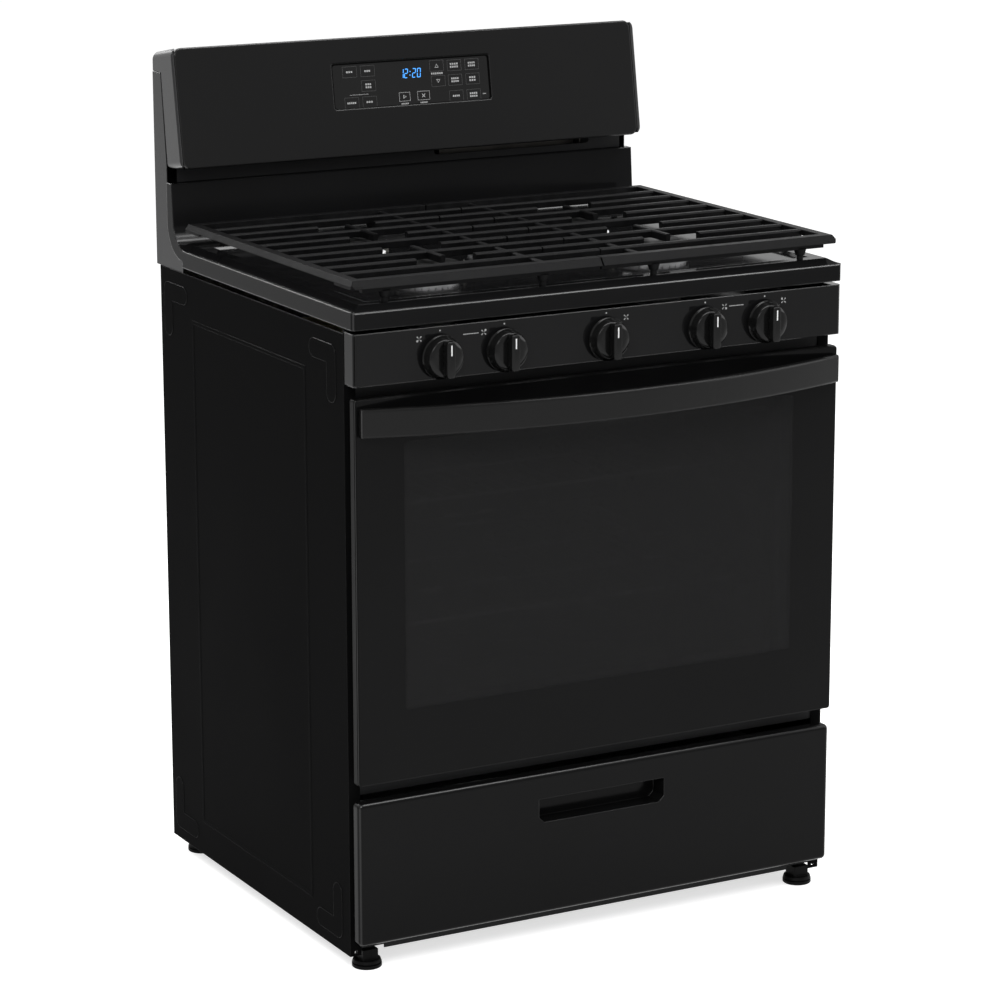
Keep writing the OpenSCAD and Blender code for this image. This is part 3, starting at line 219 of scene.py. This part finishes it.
add("cover_paint", (0.0045, 0.0045, 0.005), 0.28, level=0.18, vary=0.1, scale=5, grain=300,
    strength=0.08, distance=0.0002, edge=0.0014, roll=0.5)
add("keypad_film", (0.0055, 0.0055, 0.0055), 0.08, level=0.16, vary=0.05, scale=10, grain=600,
    strength=0.03, distance=0.0001, edge=0)
add("board", (0.03, 0.16, 0.07), 0.45, vary=0.25, scale=140, grain=900, strength=0.3)
add("white_ceramic", (0.09, 0.088, 0.08), 0.3, level=0.2, vary=0.04, scale=60, grain=900,
    strength=0.1, edge=0.0006)
add("door_paint", (0.003, 0.003, 0.003), 0.34, level=0.035, grain=500, strength=0.12, edge=0.0008)
add("handle_paint", (0.0045, 0.0045, 0.0045), 0.16, level=0.13, vary=0.08, scale=8, grain=220,
    strength=0.04, distance=0.0002, edge=0.003)
add("drawer_paint", (0.0032, 0.0032, 0.0033), 0.16, level=0.062, vary=0.08, scale=4, grain=160,
    strength=0.05, distance=0.0003, edge=0.002, roll=0.4)
add("drawer_steel", (0.11, 0.11, 0.115), 0.42, level=0.5, vary=0.12, scale=8, grain=500,
    strength=0.15)
add("foot_plastic", (0.0035, 0.0035, 0.0035), 0.45, level=0.05, vary=0.15, scale=50, grain=1500,
    strength=0.25, edge=0.0012)


def galvanised():
    """Zinc-coated sheet, with its patchwork of crystals."""
    m, nt, s = new_material("galvanised_sheet")
    put(s, Metallic=0.9)
    coord = nt.nodes.new("ShaderNodeTexCoord")
    cells = nt.nodes.new("ShaderNodeTexVoronoi")
    cells.inputs["Scale"].default_value = 105.0
    nt.links.new(coord.outputs["Object"], cells.inputs["Vector"])
    grey = nt.nodes.new("ShaderNodeRGBToBW")
    nt.links.new(cells.outputs["Color"], grey.inputs["Color"])
    nt.links.new(tint(nt, grey.outputs["Val"], (0.22, 0.225, 0.23), (0.36, 0.365, 0.37), 0.1, 0.9),
                 s.inputs["Base Color"])
    nt.links.new(spread(nt, grey.outputs["Val"], 0.36, 0.55, 0.1, 0.9), s.inputs["Roughness"])
    fine = noise(nt, 700)
    relief(nt, s, fine.outputs["Fac"], 0.12, 0.0002, 0.0008)
    return m


def glass_wool():
    m, nt, s = new_material("glass_wool")
    put(s, Roughness=0.95, Specular_IOR_Level=0.1)
    a = noise(nt, 120, 6.0, 0.7, stretch=(1, 5, 5))
    nt.links.new(tint(nt, a.outputs["Fac"], (0.5, 0.44, 0.2), (0.85, 0.8, 0.52)),
                 s.inputs["Base Color"])
    relief(nt, s, a.outputs["Fac"], 0.9, 0.003)
    return m


def braid():
    """Woven rope: two crossing sets of diagonal strands."""
    m, nt, s = new_material("gasket_braid")
    put(s, Roughness=0.85, Specular_IOR_Level=0.2)
    coord = nt.nodes.new("ShaderNodeTexCoord")
    waves = []
    for turn in (0.7, -0.7):
        place = nt.nodes.new("ShaderNodeMapping")
        place.inputs["Rotation"].default_value = (turn, turn, turn)
        wave = nt.nodes.new("ShaderNodeTexWave")
        wave.inputs["Scale"].default_value = 160.0
        nt.links.new(coord.outputs["Object"], place.inputs["Vector"])
        nt.links.new(place.outputs["Vector"], wave.inputs["Vector"])
        waves.append(wave.outputs["Fac"])
    both = nt.nodes.new("ShaderNodeMath")
    both.operation = "MULTIPLY"
    nt.links.new(waves[0], both.inputs[0])
    nt.links.new(waves[1], both.inputs[1])
    strands = tint(nt, both.outputs["Value"], (0.012, 0.012, 0.012), (0.05, 0.05, 0.05), 0.1, 0.6)
    nt.links.new(strands, s.inputs["Base Color"])
    relief(nt, s, both.outputs["Value"], 0.6, 0.001)
    return m


def see_through(name, colour, rough, open_share, level=0.5, window=None, coating=None):
    """Glass as a gloss sheet that lets part of the light straight through. window = (half width,
    low z, high z, corner radius, dot fade) limits the clear part to a printed opening, which has
    the colour of its heat coating."""
    m, nt, s = new_material(name)
    put(s, Specular_IOR_Level=level)
    film = noise(nt, 5.0, 3.0)
    shade = tint(nt, film.outputs["Fac"], tuple(c * 0.9 for c in colour),
                 tuple(c * 1.1 for c in colour))
    nt.links.new(spread(nt, film.outputs["Fac"], rough * 0.85, rough * 1.15), s.inputs["Roughness"])
    wave = noise(nt, 14.0, 1.0)
    relief(nt, s, wave.outputs["Fac"], 0.03, 0.0006, 0.0012)
    clear = nt.nodes.new("ShaderNodeBsdfTransparent")
    clear.inputs["Color"].default_value = (0.84, 0.84, 0.84, 1)
    mix = nt.nodes.new("ShaderNodeMixShader")
    mix.inputs["Fac"].default_value = open_share
    out = nt.nodes["Material Output"]
    if window:
        half, low, high, corner, fade = window
        coord = nt.nodes.new("ShaderNodeTexCoord")
        parts = nt.nodes.new("ShaderNodeSeparateXYZ")
        nt.links.new(coord.outputs["Object"], parts.inputs["Vector"])

        def math_node(op, a, b=None):
            n = nt.nodes.new("ShaderNodeMath")
            n.operation = op
            for i, v in enumerate((a, b)):
                if v is None:
                    continue
                if isinstance(v, (int, float)):
                    n.inputs[i].default_value = v
                else:
                    nt.links.new(v, n.inputs[i])
            return n.outputs["Value"]

        # signed distance to the rounded opening, negative inside
        ax = math_node("ABSOLUTE", parts.outputs["X"])
        dx = math_node("SUBTRACT", ax, half - corner)
        az = math_node("ABSOLUTE", math_node("SUBTRACT", parts.outputs["Z"], (low + high) / 2))
        dz = math_node("SUBTRACT", az, (high - low) / 2 - corner)
        out_x = math_node("MAXIMUM", dx, 0.0)
        out_z = math_node("MAXIMUM", dz, 0.0)
        length = math_node("SQRT", math_node("ADD", math_node("MULTIPLY", out_x, out_x),
                                             math_node("MULTIPLY", out_z, out_z)))
        inner = math_node("MINIMUM", math_node("MAXIMUM", dx, dz), 0.0)
        dist = math_node("SUBTRACT", math_node("ADD", length, inner), corner)
        edge = nt.nodes.new("ShaderNodeMapRange")
        edge.inputs["From Min"].default_value = -fade
        edge.inputs["From Max"].default_value = 0.0
        edge.inputs["To Min"].default_value = open_share
        edge.inputs["To Max"].default_value = 0.0
        nt.links.new(dist, edge.inputs["Value"])
        nt.links.new(edge.outputs["Result"], mix.inputs["Fac"])
        coated = nt.nodes.new("ShaderNodeMix")
        coated.data_type = "RGBA"
        nt.links.new(spread(nt, dist, 1.0, 0.0, -fade, 0.0), coated.inputs["Factor"])
        nt.links.new(shade, coated.inputs["A"])
        coated.inputs["B"].default_value = (*coating, 1)
        shade = coated.outputs["Result"]
    nt.links.new(shade, s.inputs["Base Color"])
    nt.links.new(s.outputs["BSDF"], mix.inputs[1])
    nt.links.new(clear.outputs["BSDF"], mix.inputs[2])
    nt.links.new(mix.outputs["Shader"], out.inputs["Surface"])
    return m


def glow(name, colour, strength):
    m, nt, s = new_material(name)
    put(s, Base_Color=(0, 0, 0, 1), Emission_Strength=strength, Roughness=0.4)
    soft = noise(nt, 900.0)
    nt.links.new(tint(nt, soft.outputs["Fac"], tuple(c * 0.85 for c in colour), colour),
                 s.inputs["Emission Color"])
    return m


M["galvanised_sheet"] = galvanised()
M["glass_wool"] = glass_wool()
M["gasket_braid"] = braid()
win_lo, win_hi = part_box("window_glass")
M["black_glass"] = see_through("black_glass", (0.0024, 0.0024, 0.0025), 0.03, 0.40, 0.060,
                               (0.305, win_lo[2] - 0.004, win_hi[2] + 0.010, 0.006, 0.004),
                               (0.0125, 0.0125, 0.0127))
M["clear_glass"] = see_through("clear_glass", (0.01, 0.01, 0.01), 0.04, 0.86, 0.3)
add("lamp_glass", (0.75, 0.72, 0.62), 0.2, level=0.5, grain=300, strength=0.3)
add("print_grey", (0.62, 0.62, 0.62), 0.5, grain=900, strength=0.05, edge=0)
add("print_soft", (0.27, 0.27, 0.27), 0.5, grain=900, strength=0.05, edge=0)
add("print_dim", (0.013, 0.013, 0.013), 0.5, grain=900, strength=0.05, edge=0)
# near-black used only for the painted shade ring on the keypad film
add("painted_shade_black", (0.0012, 0.0012, 0.0012), 0.5, level=0.01, grain=900, strength=0.05, edge=0)
M["display_blue"] = glow("display_blue", (0.05, 0.36, 1.0), 1.9)

slot_of = {s["node"]: s["material_slot"] for s in frame["record"]["subparts"]}
for name, obj in nodes.items():
    obj.data.materials.clear()
    obj.data.materials.append(M[slot_of[name]])


# ---------------------------------------------------------------- mesh helpers

def finish_mesh(name, bm, material, body, smooth=True):
    bmesh.ops.recalc_face_normals(bm, faces=bm.faces)
    mesh = bpy.data.meshes.new(name)
    bm.to_mesh(mesh)
    bm.free()
    obj = bpy.data.objects.new(name, mesh)
    scene.collection.objects.link(obj)
    obj.data.materials.append(material)
    if smooth:
        for p in mesh.polygons:
            p.use_smooth = True
    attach(obj, body)
    return obj


def rings(bm, loops, close_ends=True):
    """Skins a closed tube through loops of equal length."""
    made = [[bm.verts.new(p) for p in loop] for loop in loops]
    n = len(made[0])
    for a, b in zip(made, made[1:]):
        for i in range(n):
            bm.faces.new((a[i], a[(i + 1) % n], b[(i + 1) % n], b[i]))
    if close_ends:
        bm.faces.new(made[0][::-1])
        bm.faces.new(made[-1])
    return made


def plate(bm, outline, at, thickness):
    """A flat print or plate from a 2-D outline; at maps (u, v, w) to a point."""
    low = [bm.verts.new(at(u, v, 0.0)) for u, v in outline]
    top = [bm.verts.new(at(u, v, thickness)) for u, v in outline]
    n = len(outline)
    bm.faces.new(low[::-1])
    bm.faces.new(top)
    for i in range(n):
        bm.faces.new((low[i], low[(i + 1) % n], top[(i + 1) % n], top[i]))


def disc(u, v, r, n=20):
    turns = [2 * math.pi * i / n for i in range(n)]
    return [(u + r * math.cos(t), v + r * math.sin(t)) for t in turns]


def bar(u0, v0, u1, v1):
    return [(u0, v0), (u1, v0), (u1, v1), (u0, v1)]


def frame_bars(u0, v0, u1, v1, t):
    """The four bars of a rectangular outline t wide."""
    return (bar(u0, v0, u1, v0 + t), bar(u0, v1 - t, u1, v1), bar(u0, v0 + t, u0 + t, v1 - t),
            bar(u1 - t, v0 + t, u1, v1 - t))


# ---------------------------------------------------------------- knobs

def superellipse(a, b, n, power):
    pts = []
    for i in range(n):
        t = 2 * math.pi * i / n
        c, s = math.cos(t), math.sin(t)
        pts.append((a * math.copysign(abs(c) ** (2 / power), c),
                    b * math.copysign(abs(s) ** (2 / power), s)))
    return pts


def make_knob(index):
    lo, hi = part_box("knob_%d" % index)
    cx, cz = (lo[0] + hi[0]) / 2, (lo[2] + hi[2]) / 2
    back, front = hi[1], lo[1]
    r = (hi[0] - lo[0]) / 2
    deep = back - front
    blade_back = 0.0155
    n = 72
    bm = bmesh.new()
    # turned body: profile of (radius, depth from the back)
    profile = [(0.004, 0.0), (r * 0.86, 0.0), (r * 0.985, 0.0004), (r, 0.0012), (r * 0.995, 0.0027),
               (r * 0.970, 0.0034), (r * 0.938, 0.0065), (r * 0.895, 0.0100), (r * 0.852, 0.0136),
               (r * 0.834, 0.0150), (r * 0.812, 0.0158), (r * 0.60, 0.0160), (r * 0.25, 0.0160)]
    loops = [[(u, back - d, v) for u, v in disc(cx, cz, q, n)] for q, d in profile]
    rings(bm, loops)
    # grip: a straight blade right across the disc, eased at its front edges
    loops = []
    tall = r * 0.815
    for share, half_w, half_h in (
            (0.0, 0.0066, tall), (0.55, 0.0065, tall), (0.88, 0.0064, tall - 0.0001),
            (0.95, 0.0061, tall - 0.0004), (0.985, 0.0056, tall - 0.0009),
            (1.0, 0.0049, tall - 0.0016)):
        y = back - blade_back - share * (deep - blade_back)
        loops.append([(cx + u, y, cz + v) for u, v in superellipse(half_w, half_h, n, 7.0)])
    rings(bm, loops)
    body = "knob_body_%d" % index
    knob = finish_mesh(body, bm, M["knob_plastic"], body)
    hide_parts("knob_%d" % index)
    # indicator line on the front of the grip
    bm = bmesh.new()
    plate(bm, bar(cx - 0.0009, cz + 0.006, cx + 0.0009, cz + 0.0200),
          lambda u, v, w: (u, front - 0.00004 - w, v), 0.00006)
    finish_mesh("knob_line_%d" % index, bm, M["print_grey"], body, smooth=False)


for k in range(1, 6):
    make_knob(k)


# ---------------------------------------------------------------- prints on the control panel

knob_x = [(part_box("knob_%d" % k)[0][0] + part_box("knob_%d" % k)[1][0]) / 2 for k in range(1, 6)]
knob_z = (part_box("knob_1")[0][2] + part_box("knob_1")[1][2]) / 2
face_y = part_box("control_panel")[0][1]
bm = bmesh.new()


def on_panel(u, v, w):
    return (u, face_y - 0.00005 - w, v)


for i, x in enumerate(knob_x):
    plate(bm, disc(x, knob_z + 0.0345, 0.0012), on_panel, 0.0001)
    side = -1 if i < 2 else 1
    ux, uz = x + side * 0.031, knob_z + 0.026
    for dx, dz in ((-1, 1), (1, 1), (-1, -1), (1, -1)):
        ring = disc(ux + dx * 0.0027, uz + dz * 0.0027, 0.0009, 14)
        plate(bm, ring, on_panel, 0.0001)
        a, b, h = 0.0009, 0.0026, 0.00028
        plate(bm, [(ux + dx * a - dz * h, uz + dz * a + dx * h),
                   (ux + dx * a + dz * h, uz + dz * a - dx * h),
                   (ux + dx * b + dz * h, uz + dz * b - dx * h),
                   (ux + dx * b - dz * h, uz + dz * b + dx * h)],
              on_panel, 0.00009)
    which = (1, 2, 4, 3, 0)[i]
    if which < 4:
        dx, dz = ((-1, 1), (-1, -1), (1, 1), (1, -1))[which]
        plate(bm, disc(ux + dx * 0.0027, uz + dz * 0.0027, 0.0015, 16), on_panel, 0.00012)
    if i in (1, 3):
        # a row of short bars beside the larger burner's mark
        for k in range(9):
            u = ux + side * 0.0075 + side * 0.0026 * (k + 0.5)
            plate(bm, bar(u - 0.0010, uz - 0.0006, u + 0.0010, uz + 0.0006), on_panel, 0.0001)
finish_mesh("panel_print", bm, M["print_soft"], "range_body", smooth=False)


# ---------------------------------------------------------------- prints on the keypad

key_lo, key_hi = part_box("keypad")
# the film's front face: its lower front corner, and the direction up the slope
lean = math.radians(9.4)
up = Vector((0, math.sin(lean), math.cos(lean)))
out = Vector((0, -math.cos(lean), math.sin(lean)))
film_low = Vector((0, key_lo[1], key_lo[2] + math.sin(lean) * 0.0034))
film_mid = film_low + up * ((key_hi[2] - film_low.z) / math.cos(lean) / 2)


def on_film(u, v, w):
    """u across, v up the slope from the film's middle."""
    return film_mid + Vector((u, 0, 0)) + up * v + out * (0.00008 + w)


# thickness of the keypad's ink, and the height of the film's middle on the upright in mm
INK = 0.00006
MIDDLE = 1127.5
bm = bmesh.new()


def word(u, v, width, height=0.0026, count=4):
    """A short row of bars that stands where a key's wording would be."""
    step = width / count
    for k in range(count):
        start = u - width / 2
        plate(bm, bar(start + k * step, v - height / 2, start + (k + 0.72) * step, v + height / 2),
              on_film, INK)


# words beside the keys: place across and height in mm, width in mm, rows
WORDS = (
    (-100, 1147, 11, 1), (-71, 1147, 10, 1), (-71, 1126, 10, 2), (-100, 1103, 15, 1),
    (-71, 1103, 11, 1), (71, 1147, 14, 2), (100, 1147, 12, 2), (71, 1126, 13, 2),
    (100, 1126, 11, 2), (71, 1103, 12, 1), (100, 1103, 13, 2), (42, 1137, 20, 1))
for x, z, w, rows in WORDS:
    v0 = (z - MIDDLE) / 1000 / math.cos(lean)
    for r in range(rows):
        word(x / 1000, v0 + (0.5 * (rows - 1) - r) * 0.0042, w / 1000, count=max(3, w // 3))
word(0.118, (1103 - MIDDLE) / 1000, 0.006, 0.0012, 3)
word(-0.087, (1114 - MIDDLE) / 1000, 0.030, 0.0007, 14)
for x, z, flip in ((42, 1148, 1), (43, 1126, -1)):
    v0 = (z - MIDDLE) / 1000
    outer = [(-0.0032, -0.0026 * flip), (0.0032, -0.0026 * flip), (0.0, 0.0030 * flip)]
    inner = [(0.62 * a, 0.62 * b - 0.0002 * flip) for a, b in outer]
    for k in range(3):
        a, b = outer[k], outer[(k + 1) % 3]
        c, d = inner[(k + 1) % 3], inner[k]
        plate(bm, [(x / 1000 + p[0], v0 + p[1]) for p in (a, b, c, d)], on_film, INK)
for x0, x1, sign in ((-23, -5, "go"), (7, 27, "stop")):
    z0, z1 = 1100, 1113
    u0, u1 = x0 / 1000, x1 / 1000
    v0, v1 = (z0 - MIDDLE) / 1000, (z1 - MIDDLE) / 1000
    t = 0.0005
    for q in frame_bars(u0, v0, u1, v1, t):
        plate(bm, q, on_film, INK)
    cu, cv = (u0 + u1) / 2, (v0 + v1) / 2
    if sign == "go":
        corners = [(cu - 0.0022, cv - 0.0028), (cu + 0.0030, cv), (cu - 0.0022, cv + 0.0028)]
        mid = (cu - 0.0004, cv)
        for k in range(3):
            a, b = corners[k], corners[(k + 1) % 3]
            c, d = [(mid[0] + 0.55 * (q[0] - mid[0]), mid[1] + 0.55 * (q[1] - mid[1]))
                    for q in (b, a)]
            plate(bm, [a, b, c, d], on_film, INK)
    else:
        for s in (1, -1):
            d, h = 0.0024, 0.0004
            plate(bm, [(cu - d - s * h, cv - s * d + h), (cu - d + s * h, cv - s * d - h),
                       (cu + d + s * h, cv + s * d - h), (cu + d - s * h, cv + s * d + h)],
                  on_film, INK if s > 0 else INK + 0.00001)
    word(cu, v0 - 0.0035, 0.012, 0.002, 5)
finish_mesh("keypad_print", bm, M["print_soft"], "range_body", smooth=False)


# faint outlines of the touch keys, and a black ring on the film that is painted shade: it stands in
# for the shade cast by the recess's inner wall, wide at the top and right
bm = bmesh.new()
KEYS = [(x, z) for x, z, w, rows in WORDS[:-1]] + [(42, 1148), (43, 1126)]
for x, z in KEYS:
    v0 = (z - MIDDLE) / 1000 / math.cos(lean)
    for q in frame_bars(x / 1000 - 0.0115, v0 - 0.0080, x / 1000 + 0.0115, v0 + 0.0080, 0.0005):
        plate(bm, q, on_film, 0.00003)
finish_mesh("keypad_outlines", bm, M["print_dim"], "range_body", smooth=False)
bm = bmesh.new()
half_w = (key_hi[0] - key_lo[0]) / 2 - 0.0006
half_h = (key_hi[2] - film_low.z) / math.cos(lean) / 2 - 0.0006
corner = 0.004
outline = []
for cx, cv, a0 in ((1, 1, 0), (-1, 1, 90), (-1, -1, 180), (1, -1, 270)):
    for k in range(7):
        a = math.radians(a0 + 15 * k)
        outline.append((cx * (half_w - corner) + corner * math.cos(a),
                        cv * (half_h - corner) + corner * math.sin(a)))
# the ring's inner edge is set further in at the top and right, so the painted shade is widest there
inner = [(u * (half_w - 0.0017) / half_w - 0.0006, v * (half_h - 0.0014) / half_h - 0.0008)
         for u, v in outline]
for i in range(len(outline)):
    j = (i + 1) % len(outline)
    plate(bm, [outline[i], outline[j], inner[j], inner[i]], on_film, 0.00003)
finish_mesh("keypad_painted_shade_ring", bm, M["painted_shade_black"], "range_body", smooth=False)

# clock digits from seven bars each
SEGMENTS = {"0": "abcdef", "1": "bc", "2": "abged"}
bm = bmesh.new()


def digit(ch, u, v, w, h, t):
    """One clock digit w wide and h high, of bars t wide, leaning slightly to the right."""
    top, mid, right = v + h, v + h / 2, u + w
    spots = {
        "a": bar(u + t, top - t, right - t, top),
        "b": bar(right - t, mid + t / 2, right, top - t / 2),
        "c": bar(right - t, v + t / 2, right, mid - t / 2),
        "d": bar(u + t, v, right - t, v + t),
        "e": bar(u, v + t / 2, u + t, mid - t / 2),
        "f": bar(u, mid + t / 2, u + t, top - t / 2),
        "g": bar(u + t, mid - t / 2, right - t, mid + t / 2)}
    slant = 0.10
    for key in SEGMENTS[ch]:
        plate(bm, [(a + (b - v) * slant, b) for a, b in spots[key]], on_film, INK)


base_v = (1140 - MIDDLE) / 1000 - 0.0068
for ch, u in (("1", -0.0195), ("2", -0.0125), ("2", 0.0005), ("0", 0.0085)):
    digit(ch, u, base_v, 0.0060, 0.0136, 0.0011)
for dv in (0.004, 0.0092):
    plate(bm, disc(-0.0030 + dv * 0.1, base_v + dv, 0.0008, 12), on_film, INK)
finish_mesh("clock_digits", bm, M["display_blue"], "range_body", smooth=False)


# ---------------------------------------------------------------- floor, backdrop, lights, camera

def ray_kinds(nt):
    """1 for what the camera, a mirror or glass sees, 0 for the light that falls on things."""
    path = nt.nodes.new("ShaderNodeLightPath")
    seen = path.outputs["Is Camera Ray"]
    for kind in ("Is Glossy Ray", "Is Transmission Ray"):
        most = nt.nodes.new("ShaderNodeMath")
        most.operation = "MAXIMUM"
        nt.links.new(seen, most.inputs[0])
        nt.links.new(path.outputs[kind], most.inputs[1])
        seen = most.outputs["Value"]
    return seen


def pale_floor():
    """Pale sheet that is seen as near white and keeps the object's shadow."""
    m, nt, s = new_material("floor_pale")
    put(s, Base_Color=(0.74, 0.74, 0.74, 1), Roughness=0.9, Specular_IOR_Level=0.0)
    lift = nt.nodes.new("ShaderNodeEmission")
    lift.inputs["Strength"].default_value = 0.66
    none = nt.nodes.new("ShaderNodeEmission")
    none.inputs["Strength"].default_value = 0.0
    pick = nt.nodes.new("ShaderNodeMixShader")
    both = nt.nodes.new("ShaderNodeAddShader")
    nt.links.new(ray_kinds(nt), pick.inputs["Fac"])
    nt.links.new(none.outputs["Emission"], pick.inputs[1])
    nt.links.new(lift.outputs["Emission"], pick.inputs[2])
    nt.links.new(s.outputs["BSDF"], both.inputs[0])
    nt.links.new(pick.outputs["Shader"], both.inputs[1])
    nt.links.new(both.outputs["Shader"], nt.nodes["Material Output"].inputs["Surface"])
    return m


mesh = bpy.data.meshes.new("floor")
mesh.from_pydata([(-30, -30, 0), (30, -30, 0), (30, 30, 0), (-30, 30, 0)], [], [(0, 1, 2, 3)])
floor = bpy.data.objects.new("floor", mesh)
scene.collection.objects.link(floor)
floor.data.materials.append(pale_floor())
floor.location.z = -0.0002

world = bpy.data.worlds.new("studio")
scene.world = world
world.use_nodes = True
wn = world.node_tree
wn.nodes.clear()
seen = wn.nodes.new("ShaderNodeBackground")
seen.inputs["Color"].default_value = (1, 1, 1, 1)
seen.inputs["Strength"].default_value = 1.0
lit = wn.nodes.new("ShaderNodeBackground")
lit.inputs["Color"].default_value = (1, 1, 1, 1)
lit.inputs["Strength"].default_value = 0.5
mixw = wn.nodes.new("ShaderNodeMixShader")
outw = wn.nodes.new("ShaderNodeOutputWorld")
wn.links.new(ray_kinds(wn), mixw.inputs["Fac"])
wn.links.new(lit.outputs["Background"], mixw.inputs[1])
wn.links.new(seen.outputs["Background"], mixw.inputs[2])
wn.links.new(mixw.outputs["Shader"], outw.inputs["Surface"])


def area(name, at, to, size, power):
    data = bpy.data.lights.new(name, "AREA")
    data.shape = "RECTANGLE"
    data.size, data.size_y = size
    data.energy = power
    obj = bpy.data.objects.new(name, data)
    scene.collection.objects.link(obj)
    obj.location = at
    obj.rotation_euler = (Vector(to) - Vector(at)).to_track_quat("-Z", "Y").to_euler()
    return obj


area("key", (-2.2, -3.0, 3.2), (0, 0, 0.7), (2.2, 1.6), 110)
area("fill", (3.2, -2.2, 2.0), (0, 0, 0.6), (1.8, 1.8), 40)
area("top", (0.2, 0.4, 3.6), (0, 0, 0.9), (2.0, 1.4), 60)
area("front_strip", (1.4, -1.2, 3.4), (0, -0.2, 0.9), (2.4, 0.7), 50)
area("rear_rim", (-0.9, 2.9, 2.6), (0, 0, 0.95), (1.6, 0.9), 40)

cam_data = bpy.data.cameras.new("camera")
cam_data.sensor_width = 36.0
cam_data.lens = 130.66236
cam_data.clip_start, cam_data.clip_end = 0.1, 100
camera = bpy.data.objects.new("camera", cam_data)
scene.collection.objects.link(camera)
# the photograph's viewing direction, in radians
yaw, pitch, roll = 0.501252, 0.239038, -0.00167810
look = Vector((math.sin(yaw) * math.cos(pitch), math.cos(yaw) * math.cos(pitch), -math.sin(pitch)))
right = Vector((math.cos(yaw), -math.sin(yaw), 0))
upward = right.cross(look)
r2 = right * math.cos(roll) + upward * math.sin(roll)
u2 = upward * math.cos(roll) - right * math.sin(roll)
camera.matrix_world = Matrix.Translation((-2.42579, -4.41284, 1.78627)) @ Matrix((
    (r2.x, u2.x, -look.x), (r2.y, u2.y, -look.y), (r2.z, u2.z, -look.z))).to_4x4()
scene.camera = camera
scene.view_settings.view_transform = "Standard"
